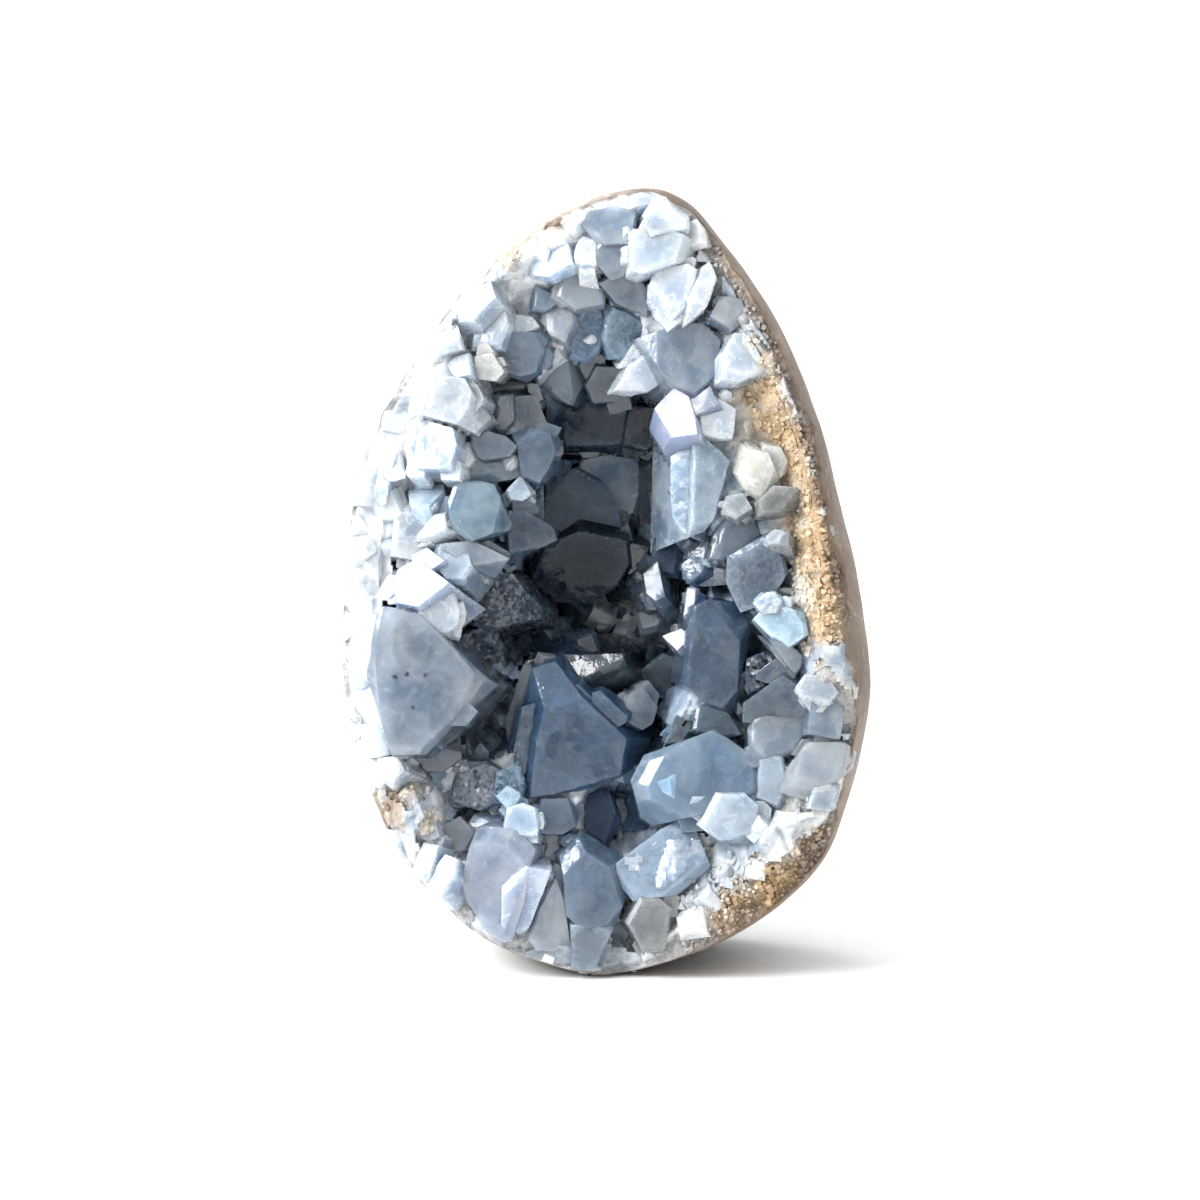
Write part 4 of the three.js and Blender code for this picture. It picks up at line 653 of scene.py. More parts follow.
def make_piece(name, points, faces, materials, node, tint=None, extra=None, smooth_faces=False,
               sharp=None, already_placed=False):
    """A mesh piece that stands for a CAD node. tint is a colour for each point, and extra holds more
    values or vectors for each point."""
    mesh = bpy.data.meshes.new(name)
    co = np.array(points if already_placed else placed(points), np.float32)
    co[:, 2] = np.maximum(co[:, 2], 0)
    if isinstance(faces[0], np.ndarray):
        corners = np.concatenate([f.ravel() for f in faces]).astype(np.int32)
        counts = np.concatenate([np.full(len(f), f.shape[1]) for f in faces])
        mesh.vertices.add(len(co))
        mesh.vertices.foreach_set("co", co.ravel())
        mesh.loops.add(len(corners))
        mesh.loops.foreach_set("vertex_index", corners)
        mesh.polygons.add(len(counts))
        starts = np.concatenate([[0], np.cumsum(counts)[:-1]]).astype(np.int32)
        mesh.polygons.foreach_set("loop_start", starts)
        mesh.update(calc_edges=True)
    else:
        mesh.from_pydata(co.tolist(), [], faces)
    mesh.polygons.foreach_set("use_smooth", np.full(len(mesh.polygons), smooth_faces))
    if sharp:
        mesh.set_sharp_from_angle(angle=math.radians(sharp))
    if tint is not None:
        layer = mesh.attributes.new("tint", "FLOAT_COLOR", "POINT")
        rgba = np.concatenate([tint, np.ones((len(co), 1))], axis=1).astype(np.float32)
        layer.data.foreach_set("color", rgba.ravel())
    for key, values in (extra or {}).items():
        values = np.asarray(values, np.float32)
        kind, field = ("FLOAT", "value") if values.ndim == 1 else ("FLOAT_VECTOR", "vector")
        mesh.attributes.new(key, kind, "POINT").data.foreach_set(field, values.ravel())
    mesh.validate()
    piece = linked(name, mesh)
    for material in materials:
        mesh.materials.append(material)
    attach(piece, "root")
    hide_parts(node)


def ring_faces(rings, around):
    """Quads between rings of points, closed round."""
    r, i = np.meshgrid(np.arange(rings - 1), np.arange(around), indexing="ij")
    a = r * around + i
    b = r * around + (i + 1) % around
    return columns(a, b, b + around, a + around).reshape(-1, 4)


# ---- materials ----
class Shader:
    """A short way to lay out the nodes of a material."""

    def __init__(self, name):
        self.material = bpy.data.materials.new(name)
        self.material.use_nodes = True
        self.tree = self.material.node_tree
        self.surface = self.tree.nodes["Principled BSDF"]
        self.output = self.tree.nodes["Material Output"]

    def node(self, kind, inputs=(), **settings):
        node = self.tree.nodes.new(kind)
        for key, value in settings.items():
            setattr(node, key, value)
        for key, value in dict(inputs).items():
            self.put(node.inputs[key], value)
        return node

    def put(self, socket, value):
        if isinstance(value, bpy.types.NodeSocket):
            self.tree.links.new(value, socket)
        elif hasattr(value, "__len__") and len(value) == 3 and socket.type == "RGBA":
            socket.default_value = (*value, 1)
        else:
            socket.default_value = value

    def set(self, **values):
        names = {"color": "Base Color", "rough": "Roughness", "transmission": "Transmission Weight",
                 "ior": "IOR", "normal": "Normal", "specular": "Specular IOR Level",
                 "sss": "Subsurface Weight", "sss_scale": "Subsurface Scale",
                 "sss_radius": "Subsurface Radius"}
        for key, value in values.items():
            self.put(self.surface.inputs[names[key]], value)

    def attribute(self, name, output="Color"):
        return self.node("ShaderNodeAttribute", attribute_name=name).outputs[output]

    def noise(self, vector, scale, detail=3.0, rough=0.55, distortion=0.0):
        return self.node("ShaderNodeTexNoise", {"Vector": vector, "Scale": scale, "Detail": detail,
                                                 "Roughness": rough, "Distortion": distortion}).outputs["Fac"]

    def voronoi(self, vector, scale, output="Distance", feature="F1"):
        return self.node("ShaderNodeTexVoronoi", {"Vector": vector, "Scale": scale},
                         feature=feature).outputs[output]

    def ramp(self, value, low, high, to_low=0.0, to_high=1.0):
        return self.node("ShaderNodeMapRange", {"Value": value, "From Min": low, "From Max": high,
                                                 "To Min": to_low, "To Max": to_high}).outputs["Result"]

    def math(self, operation, a, b=0.0, clamp=False):
        node = self.node("ShaderNodeMath", operation=operation, use_clamp=clamp)
        self.put(node.inputs[0], a)
        self.put(node.inputs[1], b)
        return node.outputs[0]

    def mix(self, factor, a, b, blend="MIX"):
        node = self.node("ShaderNodeMix", data_type="RGBA", blend_type=blend)
        self.put(node.inputs["Factor"], factor)
        self.put(node.inputs[6], a)
        self.put(node.inputs[7], b)
        return node.outputs[2]

    def times(self, a, b):
        return self.mix(1.0, a, b, "MULTIPLY")

    def plus(self, a, b):
        return self.mix(1.0, a, b, "ADD")

    def bump(self, height, distance, strength=1.0, normal=None):
        inputs = {"Height": height, "Distance": distance, "Strength": strength}
        if normal is not None:
            inputs["Normal"] = normal
        return self.node("ShaderNodeBump", inputs).outputs["Normal"]

    def absorb(self, color, density):
        volume = self.node("ShaderNodeVolumeAbsorption", {"Color": color, "Density": density})
        self.tree.links.new(volume.outputs[0], self.output.inputs["Volume"])

    def facets(self, normal, vector, scale, turn):
        """Turns the normal from one small facet to the next."""
        return self.turned(normal, self.voronoi(vector, scale, "Color"), turn)

    def turned(self, normal, facet, turn):
        turned = self.node("ShaderNodeVectorMath", {0: facet, 1: (0.5, 0.5, 0.5)}, operation="SUBTRACT")
        turned = self.node("ShaderNodeVectorMath", {0: turned.outputs[0], "Scale": turn}, operation="SCALE")
        turned = self.node("ShaderNodeVectorMath", {0: turned.outputs[0], 1: normal}, operation="ADD")
        return self.node("ShaderNodeVectorMath", {0: turned.outputs[0]}, operation="NORMALIZE").outputs[0]


def crystal_material(name, transmission, rough, veil, absorption=None, sparkle=0.0, worn=0.5, soft=0.0,
                     stepped=0.13, even=False):
    """Celestite. veil is how much the white clouds inside it show, worn how whitish its edges are, partly
    frosted edges and partly painted light, and sparkle how strongly a skin of tiny crystals glints. Light
    spreads inside by soft."""
    s = Shader(name)
    tint, local, edge = s.attribute("tint"), s.attribute("local", "Vector"), s.attribute("edge", "Fac")
    cloud = s.noise(local, 0.12, 2, 0.5, 0.8)
    wisps = s.noise(local, 0.42, 3, 0.62, 1.4)
    fine = s.noise(local, 2.6, 2, 0.7)
    color = s.mix(s.ramp(cloud, 0.32, 0.62), s.times(tint, (0.48, 0.60, 0.73)),
                  s.times(tint, (1.16, 1.12, 1.08)))
    whitened = s.math("MULTIPLY", s.ramp(cloud, 0.50, 0.78), veil, True)
    whitened = s.math("ADD", whitened, s.math("MULTIPLY", s.ramp(wisps, 0.50, 0.74), veil), True)
    whiter = s.plus(s.times(tint, (1.5, 1.45, 1.4)), (0.07, 0.095, 0.12))
    color = s.mix(whitened, color, whiter)
    flecks = s.ramp(s.voronoi(local, 0.8), 0.09, 0.03)
    color = s.mix(s.math("MULTIPLY", flecks, 0.4), color, (0.80, 0.85, 0.90))
    # Lighter towards the edges of each face and in a thin line along them: partly frosted, worn edges and
    # partly painted light, the glow that gathers at a crystal's edges.
    painted_edge_glow = s.ramp(s.math("SUBTRACT", edge, s.math("MULTIPLY", wisps, 2.4)), 1.8, -1.2, 0.0, 0.5)
    near = s.ramp(s.math("SUBTRACT", edge, s.math("MULTIPLY", wisps, 1.2)), 0.3, -0.6)
    near = s.math("MULTIPLY", near, s.ramp(fine, 0.3, 0.6, 0.3, 1.0), True)
    near = s.math("ADD", s.math("MULTIPLY", near, 0.6), painted_edge_glow, True)
    color = s.mix(s.math("MULTIPLY", near, worn), color, s.plus(whiter, (0.06, 0.06, 0.06)))
    normal = s.bump(s.noise(local, 0.35, 1, 0.5), 0.0008, 0.02 if even else 0.3)
    normal = s.bump(s.noise(local, 1.6, 1, 0.6), 0.00018, 0.02 if even else 0.3, normal)
    steps = s.node("ShaderNodeTexVoronoi", {"Vector": local, "Scale": 0.24}, distance="CHEBYCHEV")
    steps = steps.outputs["Color"]
    tone = s.node("ShaderNodeSeparateColor", {"Color": steps}).outputs[0]
    color = s.mix(s.ramp(tone, 0.0, 1.0, 0.0, 0.5), color, s.times(color, (0.62, 0.70, 0.78)))
    normal = s.turned(normal, steps, stepped)
    if sparkle:
        normal = s.facets(normal, local, 1.9, sparkle)
    dull = s.math("ADD", s.ramp(wisps, 0.35, 0.7, rough * 0.5, rough * 1.8), s.math("MULTIPLY", near, 0.12))
    s.set(color=color, rough=dull, transmission=transmission, ior=1.62, normal=normal)
    if soft:
        s.set(sss=soft, sss_radius=(0.75, 0.92, 1.15), sss_scale=0.0035)
    if absorption:
        s.absorb(*absorption)
    return s.material


def lining_material():
    s = Shader("milky_lining")
    tint, local = s.attribute("tint"), s.attribute("local", "Vector")
    cloud = s.noise(local, 0.3, 5, 0.6, 0.6)
    color = s.mix(s.ramp(cloud, 0.35, 0.7), s.times(tint, (0.66, 0.70, 0.76)), tint)
    normal = s.facets(s.bump(s.noise(local, 1.5, 4, 0.6), 0.0005, 0.6), local, 0.9, 0.5)
    s.set(color=color, rough=s.ramp(cloud, 0.3, 0.7, 0.25, 0.5), ior=1.5, normal=normal)
    return s.material


def rock_material():
    """Host rock: polished skin outside, granular where it is broken."""
    s = Shader("host_rock_stone")
    tint = s.attribute("tint")
    skin = s.attribute("skin", "Fac")
    pale = s.attribute("pale", "Fac")
    local = s.attribute("local", "Vector")
    # broken rock
    grain = s.voronoi(local, 1.6, "Color")
    shade = s.node("ShaderNodeSeparateColor", {"Color": grain}).outputs[0]
    broken = s.mix(s.ramp(shade, 0.0, 1.0, 0.0, 0.45), tint, s.times(tint, (0.55, 0.50, 0.46)))
    broken = s.mix(s.ramp(s.noise(local, 0.9, 4), 0.5, 0.7, 0, 0.3), broken, s.plus(tint, (0.1, 0.1, 0.09)))
    # polished skin
    large = s.noise(local, 0.055, 6, 0.6, 0.8)
    middle = s.noise(local, 0.22, 6, 0.65, 0.5)
    fine = s.noise(local, 1.4, 5, 0.7)
    polished = s.mix(s.ramp(large, 0.38, 0.62), (0.155, 0.108, 0.074), (0.25, 0.18, 0.125))
    polished = s.mix(s.ramp(middle, 0.52, 0.70, 0.0, 0.8), polished, (0.35, 0.27, 0.20))
    polished = s.mix(s.ramp(middle, 0.42, 0.3, 0.0, 0.8), polished, (0.30, 0.20, 0.12))
    # Paler skin on the left and lower left, partly the rind's own paler colour and partly painted light on
    # the side towards the window.
    light = s.mix(s.ramp(middle, 0.35, 0.65), (0.36, 0.315, 0.27), (0.48, 0.44, 0.39))
    polished = s.mix(s.math("MULTIPLY", pale, s.ramp(large, 0.3, 0.5, 0.75, 1.0)), polished, light)
    speckled = s.ramp(fine, 0.33, 0.58, 0.55, 0.0)
    polished = s.mix(speckled, polished, s.times(polished, (0.42, 0.38, 0.36)))
    pits = s.ramp(s.math("ADD", s.voronoi(local, 0.4), s.math("MULTIPLY", fine, 0.3)), 0.36, 0.26)
    polished = s.mix(s.math("MULTIPLY", pits, s.ramp(middle, 0.52, 0.42)), polished, (0.09, 0.07, 0.058))
    bent = s.node("ShaderNodeVectorMath", {0: s.node(
        "ShaderNodeTexNoise", {"Vector": local, "Scale": 0.09, "Detail": 5.0}).outputs["Color"],
        1: (14.0, 14.0, 14.0), 2: local}, operation="MULTIPLY_ADD")
    veins = s.ramp(s.voronoi(bent.outputs[0], 0.055, "Distance", "DISTANCE_TO_EDGE"), 0.018, 0.0)
    veins = s.math("MULTIPLY", veins, s.ramp(middle, 0.4, 0.6, 0.0, 0.35))
    polished = s.mix(veins, polished, (0.50, 0.44, 0.38))
    relief = s.math("ADD", s.math("MULTIPLY", fine, 0.4), s.math("MULTIPLY", pits, -1.0))
    normal_skin = s.bump(relief, 0.0003, 0.4)
    normal_rock = s.bump(s.noise(local, 1.7, 5, 0.7), 0.0009, 0.8)
    normal_rock = s.bump(s.voronoi(local, 2.2), 0.0004, 0.6, normal_rock)
    mixed = s.node("ShaderNodeMix", data_type="VECTOR")
    s.put(mixed.inputs["Factor"], skin)
    s.put(mixed.inputs[4], normal_rock)
    s.put(mixed.inputs[5], normal_skin)
    s.set(color=s.mix(skin, broken, polished), normal=mixed.outputs[1],
          rough=s.ramp(skin, 0.0, 1.0, 0.75, 0.46), specular=0.3)
    return s.material


def grain_material(name, rough):
    s = Shader(name)
    tint, local = s.attribute("tint"), s.attribute("local", "Vector")
    color = s.mix(s.ramp(s.noise(local, 1.2, 4), 0.35, 0.7, 0.3, 0.0), tint,
                  s.times(tint, (0.6, 0.56, 0.52)))
    s.set(color=color, rough=rough, normal=s.bump(s.noise(local, 3.0, 4), 0.0002, 0.5))
    return s.material


# ---- colours of the broken rim ----
SUGAR, WHITE, OCHRE, TAN = (0.50, 0.51, 0.51), (0.66, 0.67, 0.68), (0.56, 0.40, 0.235), (0.34, 0.255, 0.19)
BROWN, CREAM, PINK, RUST = (0.19, 0.135, 0.10), (0.65, 0.58, 0.47), (0.24, 0.18, 0.145), (0.42, 0.275, 0.135)
# x, z, half width, half height, turn, colour
PATCHES = [
    (23.0, 84, 5.0, 10, 20, CREAM), (27.4, 71, 4.6, 10, 14, CREAM), (30.2, 57.5, 4.0, 9, 5, CREAM),
    (25.4, 85, 3.6, 8, 22, OCHRE), (27.8, 76, 3.8, 9, 20, OCHRE), (30.6, 66, 3.4, 9, 12, OCHRE),
    (32.4, 57, 3.0, 8, 5, OCHRE), (30.2, 84.5, 2.4, 10, 22, BROWN), (32.8, 74, 2.4, 10, 17, BROWN),
    (35.0, 62, 2.2, 9, 8, BROWN), (36.6, 50.5, 2.0, 5, 0, TAN), (20, 107.6, 1.8, 2.6, 35, OCHRE),
    (27.0, 95, 2.2, 4, 24, TAN), (24, 15.5, 3.6, 10, -53, CREAM), (26.4, 14.8, 4.8, 11.5, -53, RUST),
    (31.0, 19.5, 2.6, 4, -50, PINK), (20, 8.6, 2.6, 5, -60, TAN), (30.0, 14.6, 2.0, 10, -52, BROWN),
    (-31.8, 26, 2.6, 2.0, 20, RUST), (-26.8, 23.6, 2.2, 2.2, 0, CREAM), (-29, 30, 3, 2, 0, CREAM),
    (-12.5, 111.5, 7.5, 2.4, 40, CREAM), (-16, 109.5, 4.5, 1.5, 42, OCHRE), (-8, 113.4, 2.4, 1.6, 30, TAN),
    (14.4, 114.4, 1.8, 1.4, -30, (0.22, 0.22, 0.22)), (15, 19.5, 3.2, 2.4, 0, CREAM),
    (6.5, 17.5, 9, 7, 0, (0.40, 0.44, 0.49)), (-32.6, 25, 3, 4.4, 20, TAN),
]


def rim_tint_and_light(x, z):
    """Colour of the broken rim, sugary white inside with tan to ochre patches further out, whiter on the
    left partly as its own colour and partly as painted light, and how stained it is."""
    size, _ = on_egg(x, z)
    # Whiter on the left than the right: partly the rim's own colour and partly painted light from the window
    # side.
    side = smooth(5, 20, x)
    base = np.array(WHITE) + (np.array(SUGAR) - np.array(WHITE)) * side[..., None]
    warm = smooth(0.0, 0.7, waves(x, z, 7, 91)) * 0.45
    base = base * (1 - warm[..., None] * (1 - np.array([0.93, 0.87, 0.78])))
    out = smooth(0.89, 0.95, size + 0.02 * waves(x, z, 3, 40)) * side
    color = base + (np.array(PINK) - base) * (out * 0.85)[..., None]
    stained = out * 0.85
    for px, pz, w, h, turn, tone in PATCHES:
        c, s_ = math.cos(math.radians(turn)), math.sin(math.radians(turn))
        u = ((x - px) * c + (z - pz) * s_) / w
        v = (-(x - px) * s_ + (z - pz) * c) / h
        ragged = 0.55 * waves(x, z, 2.4, 50) + 0.3 * waves(x, z, 1.0, 51)
        near = smooth(0.0, 0.8, 1.25 - np.hypot(u, v) + ragged)
        color = color + (np.array(tone) - color) * (near * 0.9)[..., None]
        stained = np.maximum(stained, near)
    return color, stained


# ---- host rock ----
AROUND = 600
rim = outline_points(AROUND)
reach = rim - np.array(MIDDLE)


def on_ring(size):
    """The x and z of a ring of points, size of the way from the middle to the outline."""
    return MIDDLE[0] + reach[:, 0] * size, MIDDLE[1] + reach[:, 1] * size


def edge_of_break():
    """How far out the broken front meets the polished skin, for each point of the outline."""
    sizes = np.linspace(0.7, 1.0, 241)
    gap = []
    for size in sizes:
        x, z = on_ring(size)
        gap.append(broken_front(x, z) - egg_front(np.full(AROUND, size), rim[:, 1]))
    gap = np.array(gap)
    last = gap.shape[0] - 2 - np.argmax(gap[:-1][::-1] > 0, axis=0)
    columns = np.arange(AROUND)
    g0, g1 = gap[last, columns], gap[last + 1, columns]
    return sizes[last] + (sizes[1] - sizes[0]) * np.clip(g0 / (g0 - g1 + 1e-9), 0, 1)


edge = edge_of_break()


def inward(points, by):
    centre = np.array([MIDDLE[0], 2.0, MIDDLE[1]])
    away = points - centre
    return points - away * (by / np.linalg.norm(away, axis=-1, keepdims=True))


def host_rock():
    rings, skin = [], []
    for part in np.concatenate([[0.01, 0.25, 0.45, 0.6, 0.68], np.linspace(0.72, 1, 56)]):
        size = edge * part
        x, z = on_ring(size)
        y = np.maximum(broken_front(x, z), egg_front(size, rim[:, 1]))
        rings.append(columns(x, y, z))
        skin.append(np.full(AROUND, 1.0 if part == 1 else 0.0))
    set_back, (reach_ahead, power), (reach_behind, power_behind) = egg_shape(rim[:, 1])
    deepest = (1 - edge ** power) ** (1 / power)
    for part in np.linspace(0, 1, 13)[1:]:
        t = deepest * (1 - part)
        size = (1 - t ** power) ** (1 / power)
        x, z = on_ring(size)
        rings.append(columns(x, set_back - t * reach_ahead, z))
        skin.append(np.ones(AROUND))
    for turn in np.linspace(0, math.pi / 2, 46)[1:-1]:
        t = math.sin(turn)
        x, z = on_ring((1 - t ** power_behind) ** (1 / power_behind))
        rings.append(columns(x, set_back + t * reach_behind, z))
        skin.append(np.ones(AROUND))
    count = len(rings)
    points = np.concatenate(rings)
    skin = np.concatenate(skin)
    points = np.concatenate([points, [[MIDDLE[0], BACK_DEPTH - 0.2, MIDDLE[1]]]])
    skin = np.append(skin, 1.0)
    # the polished skin is slightly uneven
    uneven = np.where(skin > 0.5, 0.10 + 0.10 * cloud(points, 9.0, 3) + 0.05 * cloud(points, 3.0, 4), 0.0)
    points = inward(points, (0.12 + uneven)[:, None])
    x, y, z = points.T
    quads = ring_faces(count, AROUND)
    last = (count - 1) * AROUND
    i = np.arange(AROUND)
    fan = columns(last + i, last + (i + 1) % AROUND, np.full(AROUND, len(points) - 1))
    in_frame = placed(points)
    # Where the skin is paler: the left and lower left, partly its own colour and partly painted light.
    pale = 1 - smooth(-22, 6, x) * smooth(-4, 6, x + 0.4 * z)
    make_piece("host_rock_body", in_frame, [quads, fan], [rock_material()], "host_rock",
               tint=rim_tint_and_light(x, z)[0], extra={"local": points, "skin": skin, "pale": pale},
               smooth_faces=True, already_placed=True)


# ---- milky lining ----
def wall_tint_and_shade(x, z, y):
    """Whitish near the rim, then blue-grey, and dark in the depth of the hollow, which is painted shade."""
    depth = y - rim_depth(x, z) + 2.0 * waves(x, z, 6, 60) + 5 * smooth(10, 18, x) * smooth(84, 70, z)
    blue, deep = np.array([0.36, 0.46, 0.57]), np.array([0.05, 0.08, 0.12])
    rim_colour, stained = rim_tint_and_light(x, z)
    tone = rim_colour + (blue - rim_colour) * (smooth(2, 10, depth) * (1 - 0.8 * stained))[..., None]
    return tone + (deep - tone) * smooth(9, 18, depth)[..., None]


def lining():
    around = 420
    border = outline_points(around) - np.array(MIDDLE)
    sizes = np.linspace(0.5, 1, 200)
    grid_x = MIDDLE[0] + border[:, 0] * sizes[:, None]
    grid_z = MIDDLE[1] + border[:, 1] * sizes[:, None]
    inside = bowl(HOLLOW, grid_x, grid_z) > 0.6
    end = sizes[len(sizes) - 1 - np.argmax(inside[::-1], axis=0)]
    rings = []
    for part in np.concatenate([np.linspace(0.01, 0.9, 90), np.linspace(0.91, 1, 14)]):
        x = MIDDLE[0] + border[:, 0] * end * part
        z = MIDDLE[1] + border[:, 1] * end * part
        rings.append(columns(x, druse_front(x, z), z))
    points = np.concatenate(rings)
    points[-around:, 1] += 2.5
    middle = len(points)
    points = np.concatenate([points, [points[:around].mean(axis=0)]])
    i = np.arange(around)
    fan = columns((i + 1) % around, i, np.full(around, middle))
    tone = wall_tint_and_shade(points[:, 0], points[:, 2], points[:, 1])
    make_piece("milky_lining", points, [ring_faces(len(rings), around), fan], [lining_material()],
               "crystal_crust", tint=tone, extra={"local": points}, smooth_faces=True)


# ---- large crystals ----
def facing(right, up):
    r, u = math.radians(right), math.radians(up)
    return np.array([math.sin(r) * math.cos(u), -math.cos(r) * math.cos(u), math.sin(u)])


def crystal_faces(depth, right, up, thick, corners, bevels=()):
    """The planes of a crystal: directions and distances, the main face first."""
    normal = facing(right, up)
    corners = np.array(corners, float)
    mx, mz = corners.mean(axis=0)
    middle = np.array([mx, depth, mz])
    raised = [np.array([x, depth - (normal[0] * (x - mx) + normal[2] * (z - mz)) / normal[1], z])
              for x, z in corners]
    planes = [(normal, normal @ middle)]
    for i, start in enumerate(raised):
        edge_line = raised[(i + 1) % len(raised)] - start
        out = np.cross(unit(edge_line), normal)
        if out @ (start - middle) < 0:
            out = -out
        wall = start
        for bevel in bevels:
            if bevel[0] == i:
                slope, width = math.radians(bevel[1]), bevel[2] if len(bevel) > 2 else 2.2
                tilted = normal * math.cos(slope) + out * math.sin(slope)
                planes.append((tilted, tilted @ start))
                wall = start + out * width
        slope = math.radians(86)
        tilted = normal * math.cos(slope) + out * math.sin(slope)
        planes.append((tilted, tilted @ wall))
    planes.append((-normal, -normal @ (middle - normal * thick)))
    return planes


def as_arrays(planes):
    """The directions and the distances of a crystal's planes."""
    return np.array([p[0] for p in planes]), np.array([p[1] for p in planes])


def corners_of(planes):
    """The points where three planes meet and that lie behind all others."""
    normals, far = as_arrays(planes)
    triples = np.array(list(itertools.combinations(range(len(planes)), 3)))
    matrices = normals[triples]
    solid = np.abs(np.linalg.det(matrices)) > 1e-5
    points = np.linalg.solve(matrices[solid], far[triples[solid]][..., None])[..., 0]
    points = points[(points @ normals.T - far < 1e-5).all(axis=1)]
    kept = []
    for p in points:
        if all(np.linalg.norm(p - q) > 0.02 for q in kept):
            kept.append(p)
    return np.array(kept)


def main_face(planes):
    """The direction and distance of a crystal's main face, its corners and its middle."""
    normal, far = planes[0]
    points = corners_of(planes)
    on_face = points[np.abs(points @ normal - far) < 0.01]
    return normal, far, on_face, on_face.mean(axis=0)


def egg_plane(p):
    """The plane that touches the egg, a little inside its surface, on the way from the middle to p."""
    centre = np.array([MIDDLE[0], 4.0, MIDDLE[1]])
    low, high = 0.0, 1.0
    for _ in range(24):
        half = (low + high) / 2
        if outside_egg((centre + (p - centre) * half)[None])[0] > -0.02:
            high = half
        else:
            low = half
    on = centre + (p - centre) * low
    steps = np.eye(3) * 0.05
    normal = unit(np.array([outside_egg((on + s)[None])[0] - outside_egg((on - s)[None])[0] for s in steps]))
    return normal, normal @ on


def keep_in_egg(planes):
    for _ in range(8):
        points = corners_of(planes)
        over = outside_egg(points)
        if over.max() < 0:
            break
        planes = planes + [egg_plane(points[np.argmax(over)])]
    return planes


def bevelled(planes, rng):
    """Narrow extra facets along some edges of the main face."""
    normal, _, on_face, centre = main_face(planes)
    for side, _ in planes[1:-1]:
        if rng.uniform() < 0.6 or abs(side @ normal) > 0.6:
            continue
        slope = math.radians(rng.uniform(30, 60))
        out = unit(side - normal * (side @ normal))
        tilted_out = normal * math.cos(slope) + out * math.sin(slope)
        if tilted_out[2] > 0.5:
            continue
        edge_reach = (on_face @ out).max()
        back = min(rng.uniform(0.3, 0.9), 0.16 * (edge_reach - centre @ out))
        planes = planes + [(tilted_out, tilted_out @ (centre + out * (edge_reach - centre @ out - back)))]
    return planes


def side_growths(planes, rng, count):
    """Smaller crystals that grew beside a large one, turned as it is, each a step further back."""
    normal, far, on_face, centre = main_face(planes)
    span = np.linalg.norm(on_face - centre, axis=1).mean()
    growths = []
    for _ in range(count):
        a, b = on_face[rng.integers(len(on_face), size=2)]
        at = centre + ((a + b) / 2 - centre) * rng.uniform(0.95, 1.1)
        scale = rng.uniform(0.3, 0.6) * min(1, 6 / span)
        proud = rng.uniform(-2.4, -0.6)
        grown_planes = [(normal, far + proud)]
        for n, d in planes[1:]:
            out = unit(n + rng.normal(0, 0.05, 3))
            grown_planes.append((out, out @ at + scale * rng.uniform(0.8, 1.25) * (d - n @ centre)))
        try:
            if len(corners_of(grown_planes)) >= 6:
                growths.append(grown_planes)
        except np.linalg.LinAlgError:
            continue
    return growths


def chipped(planes, rng, size):
    """Small breaks at one or two corners of the main face."""
    normal, _, on_face, centre = main_face(planes)
    for p in on_face[rng.permutation(len(on_face))[:rng.integers(1, 3)]]:
        away = unit(p - centre)
        direction = unit(away + normal * rng.uniform(0.4, 1.4) + rng.normal(0, 0.25, 3))
        planes = planes + [(direction, direction @ p - size * rng.uniform(0.15, 0.7))]
    return planes


def fine_solid(planes, rounding, grid, reach, wear, seed):
    """A crystal's points, triangles and how far each point lies from the nearest edge. Its faces are
    divided within reach of the main face, where they undulate and their edges are worn."""
    bm = bmesh.new()
    for p in corners_of(planes):
        bm.verts.new(p)
    bmesh.ops.convex_hull(bm, input=bm.verts)
    bmesh.ops.dissolve_limit(bm, angle_limit=math.radians(1), verts=bm.verts, edges=bm.edges)
    bmesh.ops.recalc_face_normals(bm, faces=bm.faces)
    bmesh.ops.bevel(bm, geom=list(bm.edges), offset=rounding, offset_type="OFFSET", segments=2, profile=0.55,
                    affect="EDGES", clamp_overlap=True)
    main, far = Vector(planes[0][0]), planes[0][1]
    ahead = far - reach
    bmesh.ops.poke(bm, faces=[f for f in bm.faces if f.calc_area() > 3 * grid * grid])
    bmesh.ops.triangulate(bm, faces=[f for f in bm.faces if len(f.verts) > 3])
    for _ in range(4):
        long = [e for e in bm.edges if e.calc_length() > grid * 1.5
                and max(main.dot(v.co) for v in e.verts) > ahead]
        if not long:
            break
        bmesh.ops.subdivide_edges(bm, edges=long, cuts=1)
        bmesh.ops.triangulate(bm, faces=[f for f in bm.faces if len(f.verts) > 3])
    bm.normal_update()
    bm.verts.index_update()
    points = np.array([v.co[:] for v in bm.verts])
    out = np.array([v.normal[:] for v in bm.verts])
    tris = np.array([[v.index for v in f.verts] for f in bm.faces])
    bm.free()
    normals, distances = as_arrays(planes)
    slack = distances - points @ normals.T
    own = slack.argmin(axis=1)
    turn = np.sqrt(np.maximum(1 - (normals[own] @ normals.T) ** 2, 0.02))
    apart = slack / turn
    apart[np.arange(len(points)), own] = 9.0
    edge = np.clip(apart.min(axis=1), 0, 9)
    near = 1 - smooth(0, 0.8, edge)
    worn = 0.05 * (1 + cloud(points, 4.0, seed))
    worn = worn + near * 0.26 * np.maximum(0, cloud(points, 1.6, seed + 2) - 0.1)
    return points - out * (worn * wear)[:, None], tris, edge


